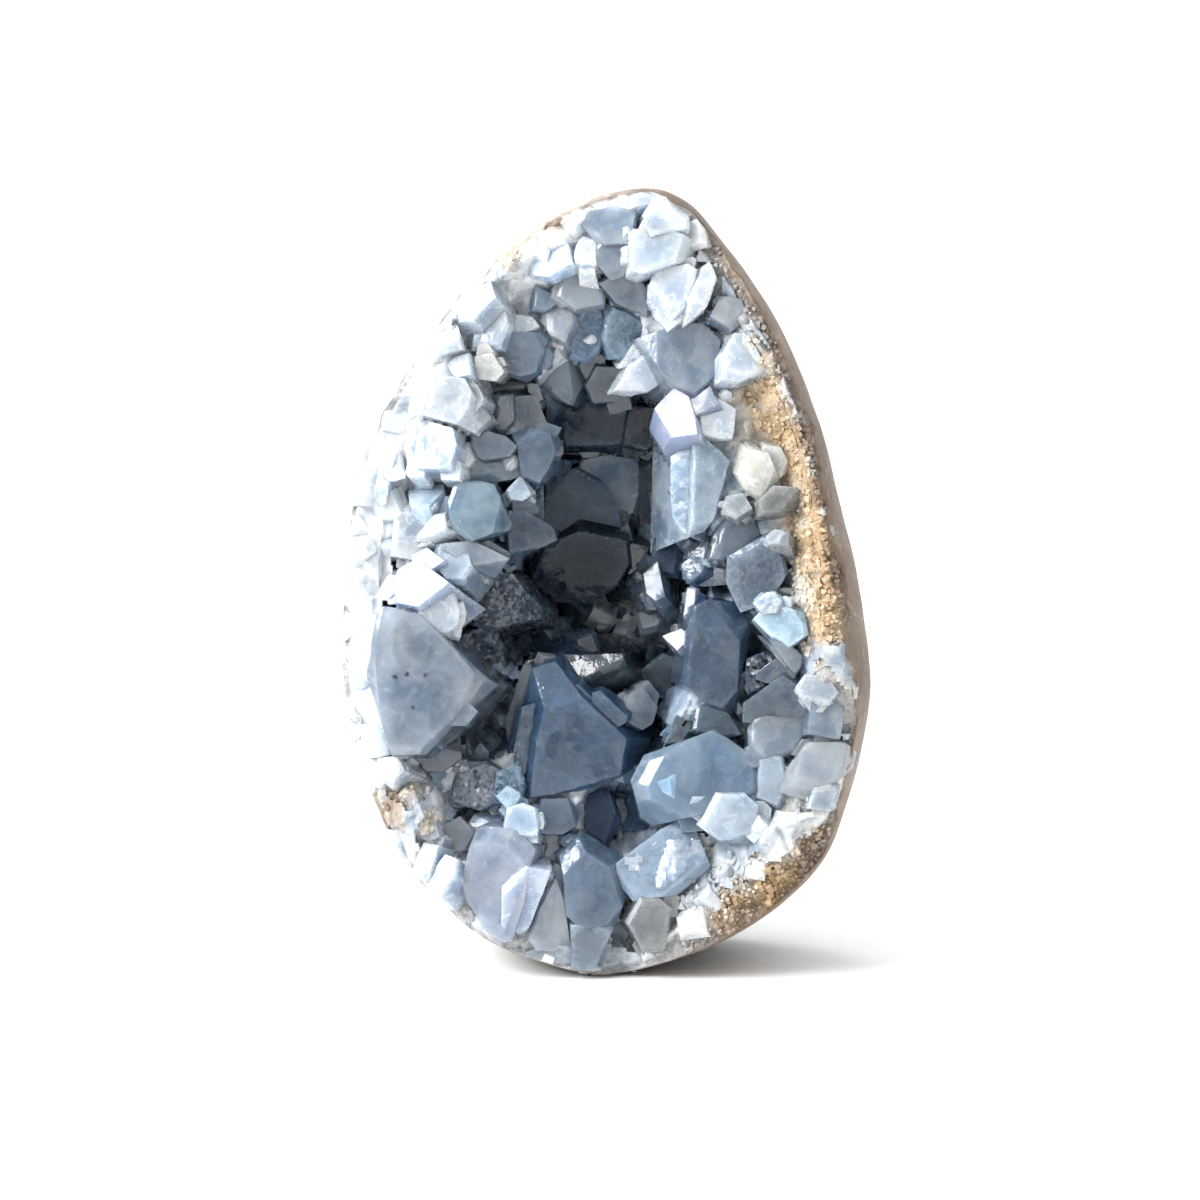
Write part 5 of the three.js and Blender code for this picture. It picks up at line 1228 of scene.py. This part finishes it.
class Bunch:
    """Crystals that share a material, joined in one mesh."""

    def __init__(self):
        self.points, self.tris, self.tints, self.local, self.edges, self.count = [], [], [], [], [], 0

    def add(self, planes, tint, seed, rounding=0.1, grid=1.0, reach=9.0, wear=1.0):
        points, tris, edge = fine_solid(planes, rounding, grid, reach, wear, seed)
        turn = np.linalg.qr(np.random.default_rng(seed).normal(size=(3, 3)))[0]
        self.points.append(points)
        self.tris.append(tris + self.count)
        self.tints.append(np.repeat(np.asarray(tint)[None], len(points), axis=0))
        self.local.append(points @ turn + 40 * np.sin(seed * np.array([1.3, 2.1, 3.7])))
        self.edges.append(edge)
        self.count += len(points)

    def piece(self, name, material):
        if not self.count:
            return
        make_piece(name, np.concatenate(self.points), [np.concatenate(self.tris)], [material],
                   "crystal_crust", tint=np.concatenate(self.tints),
                   extra={"local": np.concatenate(self.local), "edge": np.concatenate(self.edges)},
                   smooth_faces=True, sharp=14)


GROUPS = {"tip": TIP, "upper": UPPER, "left": LEFT, "deep": DEEP, "middle": MIDDLE_RIGHT, "right": RIGHT,
          "bottom": BOTTOM}
rng = np.random.default_rng(7)
grown = []  # planes, kind and tint of every large crystal
for group, rows in GROUPS.items():
    for tint, kind, *shape in rows:
        planes = keep_in_egg(crystal_faces(*shape))
        x, z = np.mean(shape[4], axis=0)
        # Tints are drawn towards white near the rim, partly the paler rim crystals and partly painted light
        # from the window on the left; less on the right side, and the bottom ones right of the middle stay
        # darker, a painted shade.
        light = smooth(15, 3, bowl(HOLLOW, x, z)) * (0.6 - 0.4 * smooth(4, 14, x) * smooth(100, 88, z))
        if group == "bottom":
            light *= 1 - 0.8 * smooth(-12, -5, x)
        tone = np.array(TINTS[tint])
        whitish = np.array([0.74, 0.75, 0.78] if group == "left" else [0.68, 0.74, 0.82])
        tone = tone + (whitish - tone) * (0.0 if group == "middle" else light)
        if kind != "mirror":
            planes = chipped(bevelled(planes, rng), rng, 1.0)
        grown.append((planes, kind, tone, group))

clear = crystal_material("celestite_clear", 0.72, 0.06, 0.45, ((0.62, 0.78, 0.90), 40.0), soft=0.5, worn=0.45)
milky = crystal_material("celestite_milky", 0.35, 0.17, 0.6, ((0.80, 0.88, 0.95), 25.0), soft=0.45, worn=0.7,
                         stepped=0.03)
watery = crystal_material("celestite_watery", 0.3, 0.10, 0.45, soft=0.4, worn=0.7)
# Deep clear crystals reflect less than celestite does and absorb more, a painted shade for the dark of the
# hollow.
dim = crystal_material("celestite_deep", 0.6, 0.12, 0.2, ((0.55, 0.74, 0.88), 200.0), soft=0.4, worn=0.5)
for _socket, _value in (("Specular IOR Level", 0.15), ("IOR", 1.4)):
    dim.node_tree.nodes["Principled BSDF"].inputs[_socket].default_value = _value
mirror = crystal_material("celestite_mirror", 0.55, 0.12, 0.0, soft=1.0, worn=0.0, stepped=0.0, even=True)
glinting = crystal_material("celestite_glinting", 0.0, 0.2, 0.2, sparkle=0.35, soft=0.3)
druse = crystal_material("celestite_druse", 0.0, 0.22, 0.1, sparkle=1.2, worn=0.2)
sugar = crystal_material("celestite_sugar", 0.0, 0.3, 0.45, sparkle=0.12, soft=0.3, worn=0.4)


def in_the_open(p):
    """Which points stand in the open middle of the hollow."""
    return ((p[:, 0] - 1) / 8.6) ** 2 + ((p[:, 2] - 69) / 16) ** 2 < 1


def large_crystals():
    rng = np.random.default_rng(91)
    bare = [len(TIP + UPPER + LEFT + DEEP) + i for i in (4, 13, 14)]  # stand clear of any smaller ones
    bunches = {kind: Bunch() for kind in ("clear", "dim", "milky", "mirror", "glinting", "druse", "sugar")}
    sides = {"clear": Bunch(), "milky": Bunch()}
    for number, (planes, kind, tint, group) in enumerate(grown):
        shade = 1 + 0.10 * math.sin(number * 2.3)
        dark = "dim" if group == "deep" and kind == "clear" else kind
        bunches[dark].add(planes, np.clip(tint * shade, 0, 0.95), number)
        if kind not in sides or number in bare:
            continue
        for growth in side_growths(planes, rng, 2 if group == "deep" else 4):
            growth = keep_in_egg(growth)
            corners = corners_of(growth)
            if len(corners) >= 6 and (group == "deep" or not in_the_open(corners).any()):
                sides[kind].add(growth, np.clip(tint * shade * rng.uniform(0.9, 1.15), 0, 0.95),
                                2000 + sides["clear"].count + sides["milky"].count, 0.08, 1.2, 6.0)
    for kind, material in (("clear", clear), ("dim", dim), ("milky", milky), ("mirror", mirror),
                           ("glinting", glinting), ("druse", druse), ("sugar", sugar)):
        bunches[kind].piece("crystals_" + kind, material)
    sides["clear"].piece("side_crystals_clear", clear)
    sides["milky"].piece("side_crystals_milky", milky)


# ---- small crystals and grains ----
PRISM = np.array([[math.cos(k * math.pi / 3), math.sin(k * math.pi / 3), h] for h in (0, 1) for k in range(6)]
                 + [[-0.45, 0, 1.0], [0.45, 0, 1.0]])
PRISM_QUADS = np.array([[k, (k + 1) % 6, 6 + (k + 1) % 6, 6 + k] for k in range(6)]
                       + [[7, 8, 12, 13], [10, 11, 13, 12]])
PRISM_TRIS = np.array([[8, 9, 12], [9, 10, 12], [11, 6, 13], [6, 7, 13], [0, 2, 1], [0, 3, 2], [0, 4, 3],
                       [0, 5, 4]])
CUBE = np.array([[x, y, z] for z in (-1, 1) for x, y in ((-1, -1), (1, -1), (1, 1), (-1, 1))], float)
CUBE_QUADS = np.array([[3, 2, 1, 0], [4, 5, 6, 7], [0, 1, 5, 4], [1, 2, 6, 5], [2, 3, 7, 6], [3, 0, 4, 7]])


def spread(count, spacing, wanted, seed):
    """Random x and z points at least spacing apart where wanted says so."""
    rng = np.random.default_rng(seed)
    x = rng.uniform(-HALF_WIDTH, HALF_WIDTH, count)
    z = rng.uniform(0, HEIGHT, count)
    keep = wanted(x, z)
    x, z = x[keep], z[keep]
    near, kept = {}, []
    for i in range(len(x)):
        a, b = int(x[i] // spacing), int(z[i] // spacing)
        clear = True
        for key in itertools.product((a - 1, a, a + 1), (b - 1, b, b + 1)):
            for j in near.get(key, ()):
                if (x[i] - x[j]) ** 2 + (z[i] - z[j]) ** 2 < spacing * spacing:
                    clear = False
                    break
            if not clear:
                break
        if clear:
            near.setdefault((a, b), []).append(i)
            kept.append(i)
    return x[kept], z[kept]


def frames_about(axis, rng):
    """Right-handed frames whose third axis is given, turned about it at random."""
    helper = rng.normal(size=axis.shape)
    first = unit(np.cross(axis, helper))
    return np.stack([first, np.cross(axis, first), axis], axis=1)


def buried(points, margin):
    """Which points lie in a large crystal, deeper than margin."""
    inside = np.zeros(len(points), bool)
    for planes, kind, *_ in grown:
        if kind == "sugar":
            continue
        normals, far = as_arrays(planes)
        inside |= (points @ normals.T - far < -margin).all(axis=1)
    return inside


def front_of_large():
    """How far forward the large crystals reach, as a table over x and z, the same
    for the sugary ones, and the colour of what is in front."""
    x, z = np.meshgrid(np.arange(-HALF_WIDTH, HALF_WIDTH + 0.1, TABLE_STEP),
                       np.arange(0, HEIGHT + 0.1, TABLE_STEP), indexing="ij")
    fronts = {False: np.full(x.shape, NOTHING), True: np.full(x.shape, NOTHING)}
    tones = np.zeros(x.shape + (3,))
    for planes, kind, tone, _ in grown:
        low, high = np.full(x.shape, -NOTHING), np.full(x.shape, NOTHING)
        for n, far in planes:
            reach = (far - n[0] * x - n[2] * z) / (n[1] if abs(n[1]) > 1e-4 else 1e-4)
            if n[1] < 0:
                low = np.maximum(low, reach)
            else:
                high = np.minimum(high, reach)
        low = np.where(low < high, low, NOTHING)
        tones[low < np.minimum(fronts[False], fronts[True])] = tone
        fronts[kind == "sugar"] = np.minimum(fronts[kind == "sugar"], low)
    return fronts[False], fronts[True], tones


def blurred(values, mask, sigma):
    """Mean of the values near each point of the grid, and how much is near it."""
    reach = np.arange(-int(3 * sigma), int(3 * sigma) + 1)
    kernel = np.exp(-0.5 * (reach / sigma) ** 2)
    kernel /= kernel.sum()

    def run(table):
        table = np.apply_along_axis(np.convolve, 0, table, kernel, "same")
        return np.apply_along_axis(np.convolve, 1, table, kernel, "same")

    near = run(mask.astype(float))
    return [run(np.where(mask, v, 0.0)) / np.maximum(near, 1e-4) for v in values], near


LARGE_FRONT, SUGAR_FRONT, TONES = front_of_large()
_any = np.minimum(LARGE_FRONT, SUGAR_FRONT)
(_depth, *_tone), NEAR_LARGE = blurred([_any, *np.moveaxis(TONES, -1, 0)], _any < NOTHING, 5)
MASS, MASS_TONE = _depth + 1.2, np.stack(_tone, axis=-1)


def looked_up(table, x, z):
    i = np.clip(((x + HALF_WIDTH) / TABLE_STEP).round().astype(int), 0, table.shape[0] - 1)
    j = np.clip((z / TABLE_STEP).round().astype(int), 0, table.shape[1] - 1)
    return table[i, j]


def sampled(table, x, z):
    """The value of a table between its points."""
    u = np.clip((x + HALF_WIDTH) / TABLE_STEP, 0, table.shape[0] - 1.001)
    v = np.clip(z / TABLE_STEP, 0, table.shape[1] - 1.001)
    i, j = u.astype(int), v.astype(int)
    u, v = u - i, v - j
    if table.ndim == 3:
        u, v = u[..., None], v[..., None]
    return ((table[i, j] * (1 - u) + table[i + 1, j] * u) * (1 - v)
            + (table[i, j + 1] * (1 - u) + table[i + 1, j + 1] * u) * v)


def hides_large(points, by=0.3):
    """Which points stand in front of a large crystal."""
    large = looked_up(LARGE_FRONT, points[..., 0], points[..., 2])
    return (large < NOTHING) & (points[..., 1] < large - by)


def ground(x, z):
    """The depth of what the smaller crystals stand on."""
    return np.minimum(front(x, z), crust_front(x, z))


def tilted(direction, amount, rng):
    out = direction + rng.normal(0, amount, direction.shape)
    return unit(out)


def blocky(base, axis, width, height, rng):
    """The planes of a blocky crystal with a chisel tip, the flat end of the tip first."""
    helper = rng.normal(size=3)
    u = unit(np.cross(axis, helper))
    v = np.cross(axis, u)
    top = base + axis * height
    cap = unit(axis + 0.12 * rng.normal() * u + 0.12 * rng.normal() * v)
    planes = [(cap, cap @ top)]
    wide, narrow = width, width * rng.uniform(0.6, 1.0)
    for side in (1, -1):
        slope = math.radians(rng.uniform(32, 62))
        n = axis * math.cos(slope) + u * side * math.sin(slope)
        planes.append((n, n @ (top + u * side * wide * rng.uniform(0.05, 0.75))))
        if rng.uniform() < 0.6:
            slope = math.radians(rng.uniform(30, 60))
            n = axis * math.cos(slope) + v * side * math.sin(slope)
            planes.append((n, n @ (top + v * side * narrow * rng.uniform(0.2, 0.8))))
        for across, size in ((u, wide), (v, narrow)):
            n = unit(across * side + axis * 0.04 + rng.normal(0, 0.05, 3))
            planes.append((n, n @ (base + across * side * size)))
    for _ in range(rng.integers(1, 4)):
        a = rng.uniform(0, 2 * math.pi)
        n = unit(u * math.cos(a) + v * math.sin(a) + axis * rng.uniform(0, 0.9))
        cut = (wide + narrow) * 0.5 * rng.uniform(0.75, 1.0)
        planes.append((n, n @ base + cut + n @ axis * height * 0.8))
    planes.append((-axis, -axis @ (base - axis * width * 1.5)))
    return planes


def medium_crystals():
    """Crystals a few millimetres across that crowd the wall and the rim."""
    rng = np.random.default_rng(41)
    bunches = {"watery": Bunch(), "milky": Bunch(), "sugar": Bunch()}

    def on_left(x, z):
        return x < 7 + 4 * waves(x, z, 6, 42) + 8 * smooth(84, 96, z)

    def left_rim(x, z):
        return (bowl(HOLLOW, x, z) < 6) & (on_egg(x, z)[0] < 0.975) & on_left(x, z) & ((z > 7) | (x < 0))

    def right_rim(x, z):
        return (bowl(HOLLOW, x, z) < 7) & (on_egg(x, z)[0] < 0.93) & ~on_left(x, z) & (z > 9)

    def wall(x, z):
        return bowl(HOLLOW, x, z) > np.where(on_left(x, z), 4, 6)

    number = 500
    for where, spacing, low, high, lean, rise, seed in (
            (wall, 4.2, 1.8, 3.4, 0.4, (0.5, 1.1), 43), (left_rim, 4.6, 1.8, 3.4, 0.3, (0.15, 0.5), 44),
            (right_rim, 4.6, 1.4, 2.6, 0.25, (0.1, 0.3), 45)):
        x, z = spread(9000, spacing, where, seed)
        y = ground(x, z)
        stand = outward(rim_depth if where is not wall else lining_front, x, z, 1.5)
        if where is wall:
            hollow = columns(VOID[0] - x, np.full_like(x, -30.0), VOID[1] - z)
            stand = stand + unit(hollow)
        axis = tilted(stand, lean, rng)
        width = rng.uniform(low, high, len(x))
        height = width * rng.uniform(*rise, len(x))
        p = columns(x, y, z)
        tone = crust_tint_and_shade(x, z, y)
        yellow = tone[:, 2] / tone[:, 0]
        top = p + axis * height[:, None]
        keep = ~buried(top, 0.0) & (yellow > 0.93) & ~hides_large(top)
        keep &= looked_up(SUGAR_FRONT, x, z) == NOTHING
        keep &= outside_egg(p + axis * (height * 0.3)[:, None]) < -0.02
        for i in np.flatnonzero(keep):
            number += 1
            planes = keep_in_egg(blocky(p[i], axis[i], width[i], height[i], rng))
            corners = corners_of(planes)
            if len(corners) < 6 or hides_large(corners).sum() > 2:
                continue
            pick = rng.uniform()
            shade = rng.uniform(0.8, 1.2)
            if where is wall:
                kind = "watery" if pick < 0.6 else "milky" if pick < 0.75 else "sugar"
            elif where is left_rim:
                kind = "watery" if pick < 0.2 else "sugar"
                shade = rng.uniform(0.95, 1.1)
            else:
                kind = "sugar"
                shade = rng.uniform(0.94, 1.06)
            tint = tone[i] * shade * (np.array([0.82, 0.92, 1.0]) if kind == "watery" else 1.0)
            bunches[kind].add(planes, np.clip(tint, 0, 0.9), number,
                              0.12 if where is right_rim else 0.09, 1.2, 3.5, 0.9)
    for kind, material in (("watery", watery), ("milky", watery), ("sugar", sugar)):
        bunches[kind].piece("medium_crystals_" + kind, material)


def join_copies(name, shape, axis, at, faces, tint, material, node, rng, edge=None):
    """Small shapes, each turned to its axis and moved, joined in one mesh. Those that would reach out of
    the egg are left out."""
    each = shape.shape[1]
    points = np.einsum("nvi,nij->nvj", shape, frames_about(axis, rng)) + at[:, None, :]
    kept = (outside_egg(points) < -0.012).all(axis=1)
    points, tint = points[kept], tint[kept]
    number = np.arange(len(points))
    start = (number * each)[:, None, None]
    local = points + 30 * np.sin(number[:, None] * np.array([1.3, 2.1, 3.7]))[:, None, :]
    extra = {"local": local.reshape(-1, 3)}
    if edge:
        extra["edge"] = np.full(len(points) * each, edge)
    make_piece(name, points.reshape(-1, 3), [(f[None] + start).reshape(-1, f.shape[1]) for f in faces],
               [material], node, tint=np.repeat(tint, each, axis=0), extra=extra)


def joined_prisms(name, base, axis, width, length, tint, material, seed):
    """Small crystals with chisel tips, joined in one mesh."""
    rng = np.random.default_rng(seed)
    n = len(base)
    shape = np.repeat(PRISM[None], n, axis=0)
    flat = rng.uniform(0.45, 1.0, n)
    tip = rng.uniform(0.45, 0.8, n)
    shape[:, :, 0] *= width[:, None]
    shape[:, :, 1] *= (width * flat)[:, None]
    shape[:, 6:12, 2] = tip[:, None]
    shape[:, 12:, 0] *= rng.uniform(0.3, 1.2, n)[:, None]
    shape[:, :, 2] *= length[:, None]
    shape += rng.normal(0, 0.07, shape.shape) * width[:, None, None]
    join_copies(name, shape, axis, base, [PRISM_QUADS, PRISM_TRIS], tint, material,
                "crystal_crust", rng, 1.2)


def joined_grains(name, middle, size, tint, material, node, seed):
    """Angular grains, joined in one mesh."""
    rng = np.random.default_rng(seed)
    n = len(middle)
    shape = CUBE[None] * size[:, None, None] * rng.uniform(0.6, 1.0, (n, 1, 3))
    shape = shape + rng.normal(0, 0.22, shape.shape) * size[:, None, None]
    axis = unit(rng.normal(size=(n, 3)))
    join_copies(name, shape, axis, middle, [CUBE_QUADS], tint, material, node, rng)


def crust():
    """The crust of fused crystals, a height field that dips under the rock at its border."""
    x, z = np.meshgrid(np.arange(-HALF_WIDTH, HALF_WIDTH, CRUST_STEP), np.arange(0.5, HEIGHT, CRUST_STEP),
                       indexing="ij")
    size, _ = on_egg(x, z)
    right = to_right(x, z)
    inside = smooth(0.985 - 0.035 * right, 0.95 - 0.05 * right, size)
    inside = inside * (1 - right * smooth(0.25, 0.6, rim_tint_and_light(x, z)[1]) * smooth(11, 7, bowl(HOLLOW, x, z)))
    y = crust_front(x, z) + 3.0 * (1 - inside)
    y = np.maximum(y, front_limit(x, z) + 0.35)
    used = (inside > 0.02) & (y < front(x, z) + 1.0)
    index = -np.ones(x.shape, int)
    cell = used[:-1, :-1] | used[1:, :-1] | used[1:, 1:] | used[:-1, 1:]
    for di, dj in itertools.product((0, 1), repeat=2):
        index[di:index.shape[0] - 1 + di, dj:index.shape[1] - 1 + dj][cell] = 0
    index[index == 0] = np.arange((index == 0).sum())
    quads = columns(index[:-1, :-1], index[1:, :-1], index[1:, 1:], index[:-1, 1:])[cell]
    points = columns(x, y, z)[index >= 0]
    make_piece("fused_crust", points, [quads], [sugar], "crystal_crust",
               tint=np.clip(crust_tint_and_shade(*points.T[[0, 2, 1]]), 0, 0.9),
               extra={"local": points, "edge": np.full(len(points), 4.0)}, smooth_faces=True, sharp=22)


def wall_crystals():
    """The small crystals in the depth of the wall, between the larger ones."""
    rng = np.random.default_rng(11)
    x, z = spread(9000, 2.8, lambda x, z: bowl(HOLLOW, x, z) > 10.0, 12)
    y = ground(x, z)
    p = columns(x, y, z)
    stand = outward(lining_front, x, z, 1.2)
    hollow_axis = unit(columns(VOID[0] - x, np.full_like(x, -26.0), VOID[1] - z))
    axis = tilted(stand + hollow_axis, 0.55, rng)
    width = rng.uniform(0.6, 1.6, len(x))
    length = width * rng.uniform(1.5, 2.4, len(x))
    keep = ~buried(p + axis * (length * 0.6)[:, None], 0.2)
    keep &= (front_limit(x, z) < y - 1) & ~hides_large(p + axis * length[:, None], 0.2)
    keep &= looked_up(SUGAR_FRONT, x, z) == NOTHING
    p, axis, width, length = p[keep], axis[keep], width[keep], length[keep]
    tone = crust_tint_and_shade(p[:, 0], p[:, 2], p[:, 1]) * rng.uniform(0.8, 1.2, (len(p), 1))
    joined_prisms("wall_crystals", p - axis * (width * 0.8)[:, None], axis, width, length + width * 0.8,
                  np.clip(tone, 0, 0.9), watery, 13)


def rim_grains():
    """Sand-sized grains of the broken host rock."""
    rng = np.random.default_rng(31)

    def rim(x, z):
        size, _ = on_egg(x, z)
        return (bowl(HOLLOW, x, z) < 10) & (size < 0.985)

    x, z = spread(90000, 0.56, rim, 32)
    y = front(x, z)
    tone, stained = rim_tint_and_light(x, z)
    p = columns(x, y, z)
    keep = ~buried(p, 0.0) & (stained > 0.35)
    size = rng.uniform(0.2, 0.34, len(x)) + 0.3 * rng.uniform(0, 1, len(x)) ** 4
    tone = tone * rng.uniform(0.88, 1.1, (len(x), 1))
    joined_grains("rim_grains", p[keep], size[keep], np.clip(tone, 0, 0.95)[keep],
                  grain_material("rock_grain", 0.5), "host_rock", 33)


def specks():
    """Four black grains in the face of the big crystal on the left, and a pearly bump."""
    planes = grown[len(TIP) + len(UPPER) + 15][0]
    (nx, ny, nz), far = planes[0]
    spots = np.array([(-31.3, 46, 0.28), (-29.5, 46.4, 0.24), (-26.8, 46.2, 0.22), (-28.6, 41.5, 0.24)])
    y = (far - nx * spots[:, 0] - nz * spots[:, 1]) / ny
    joined_grains("black_grains", columns(spots[:, 0], y, spots[:, 1]), spots[:, 2],
                  np.full((4, 3), 0.02), grain_material("dark_mineral", 0.5), "crystal_crust",
                  61)
    at = np.array([-14.4, looked_up(np.minimum(LARGE_FRONT, MASS), np.array(-14.4), np.array(78.2)), 78.2])
    u, v = np.meshgrid(np.linspace(0, math.pi, 17)[1:-1], np.arange(24) * math.pi / 12, indexing="ij")
    ball = columns(np.sin(u) * np.cos(v), np.sin(u) * np.sin(v), np.cos(u)).reshape(-1, 3)
    points = at + np.concatenate([ball, [[0, 0, 1], [0, 0, -1]]]) * np.array([1.4, 1.1, 1.5])
    i = np.arange(24)
    caps = [columns(i, (i + 1) % 24, np.full(24, 360)),
            columns(336 + (i + 1) % 24, 336 + i, np.full(24, 361))]
    make_piece("pearly_bump", points, [ring_faces(15, 24), np.concatenate(caps)], [milky],
               "crystal_crust", tint=np.full((362, 3), 0.6),
               extra={"local": points, "edge": np.full(362, 4.0)}, smooth_faces=True)


host_rock()
lining()
large_crystals()
medium_crystals()
crust()
wall_crystals()
rim_grains()
specks()


# ---- stage ----
def floor():
    """A pale floor that curves up behind the stone, and to a low edge on its other sides."""
    def sweep(start, radius, top):
        return [(start + radius * math.sin(a), radius - radius * math.cos(a))
                for a in np.linspace(0, math.pi / 2, 17)] + [(start + radius, top)]

    edge_line = sweep(3.0, 0.6, 0.9)
    before = [(-p, h) for p, h in reversed(edge_line)]
    across, along = before + edge_line, before + sweep(1.2, 0.8, 3.0)
    points = [(x, y, max(a, b)) for y, b in along for x, a in across]
    wide = len(across)
    mesh = bpy.data.meshes.new("floor")
    mesh.from_pydata(points, [], [[j * wide + i, j * wide + i + 1, (j + 1) * wide + i + 1, (j + 1) * wide + i]
                                  for j in range(len(along) - 1) for i in range(wide - 1)])
    mesh.polygons.foreach_set("use_smooth", [True] * len(mesh.polygons))
    piece = linked("floor", mesh)
    s = Shader("pale_floor")
    where = s.node("ShaderNodeTexCoord").outputs["Object"]
    s.set(color=s.mix(s.noise(where, 3.0, 3), (0.89, 0.89, 0.89), (0.92, 0.92, 0.92)), rough=0.6)
    mesh.materials.append(s.material)


def area_light(name, direction, distance, size, energy, color, target=(0, 0, 0.058)):
    light = bpy.data.lights.new(name, "AREA")
    light.energy, light.size, light.color = energy, size, color
    lamp = linked(name, light)
    towards = Vector(direction).normalized()
    lamp.location = Vector(target) + towards * distance
    lamp.rotation_euler = (-towards).to_track_quat("-Z", "Y").to_euler()


def world(color, bright, dim, towards):
    """Soft studio light all round, brighter from one side."""
    w = bpy.data.worlds.new("studio")
    bpy.context.scene.world = w
    w.use_nodes = True
    tree = w.node_tree
    background = tree.nodes["Background"]
    background.inputs["Color"].default_value = (*color, 1)
    where = tree.nodes.new("ShaderNodeTexCoord")
    along = tree.nodes.new("ShaderNodeVectorMath")
    along.operation = "DOT_PRODUCT"
    along.inputs[1].default_value = Vector(towards).normalized()
    strength = tree.nodes.new("ShaderNodeMapRange")
    strength.interpolation_type = "SMOOTHSTEP"
    for key, value in (("From Min", -0.7), ("From Max", 0.9), ("To Min", dim), ("To Max", bright)):
        strength.inputs[key].default_value = value
    tree.links.new(where.outputs["Generated"], along.inputs[0])
    tree.links.new(along.outputs["Value"], strength.inputs["Value"])
    tree.links.new(strength.outputs["Result"], background.inputs["Strength"])


def camera():
    distance, elevation = 0.45, math.radians(5)
    target = Vector((-0.0009, -0.006, 0.0558))
    ahead = Vector((0, math.cos(elevation), -math.sin(elevation)))
    data = bpy.data.cameras.new("camera")
    data.sensor_width = 36
    data.lens = 36 * distance / 0.1825
    data.clip_start, data.clip_end = 0.01, 20
    cam = linked("camera", data)
    cam.location = target - ahead * distance
    cam.rotation_euler = ahead.to_track_quat("-Z", "Y").to_euler()
    bpy.context.scene.camera = cam


floor()
area_light("window", (-0.76, -0.36, 0.54), 0.7, 0.45, 8.5, (0.99, 0.99, 1.0))
area_light("backdrop_light", (-0.5, 0.25, 0.95), 1.5, 1.0, 26.0, (1.0, 1.0, 1.0), (0, 1.4, 0.4))
world((0.965, 0.985, 1.0), 1.41, 0.4, (-0.62, -0.05, 0.78))
camera()
view = bpy.context.scene.view_settings
view.view_transform = "Standard"
bpy.context.scene.cycles.max_bounces = 4
bpy.context.scene.cycles.transmission_bounces = 3
bpy.context.scene.cycles.diffuse_bounces = 2
bpy.context.scene.cycles.glossy_bounces = 1
bpy.context.scene.cycles.caustics_reflective = False
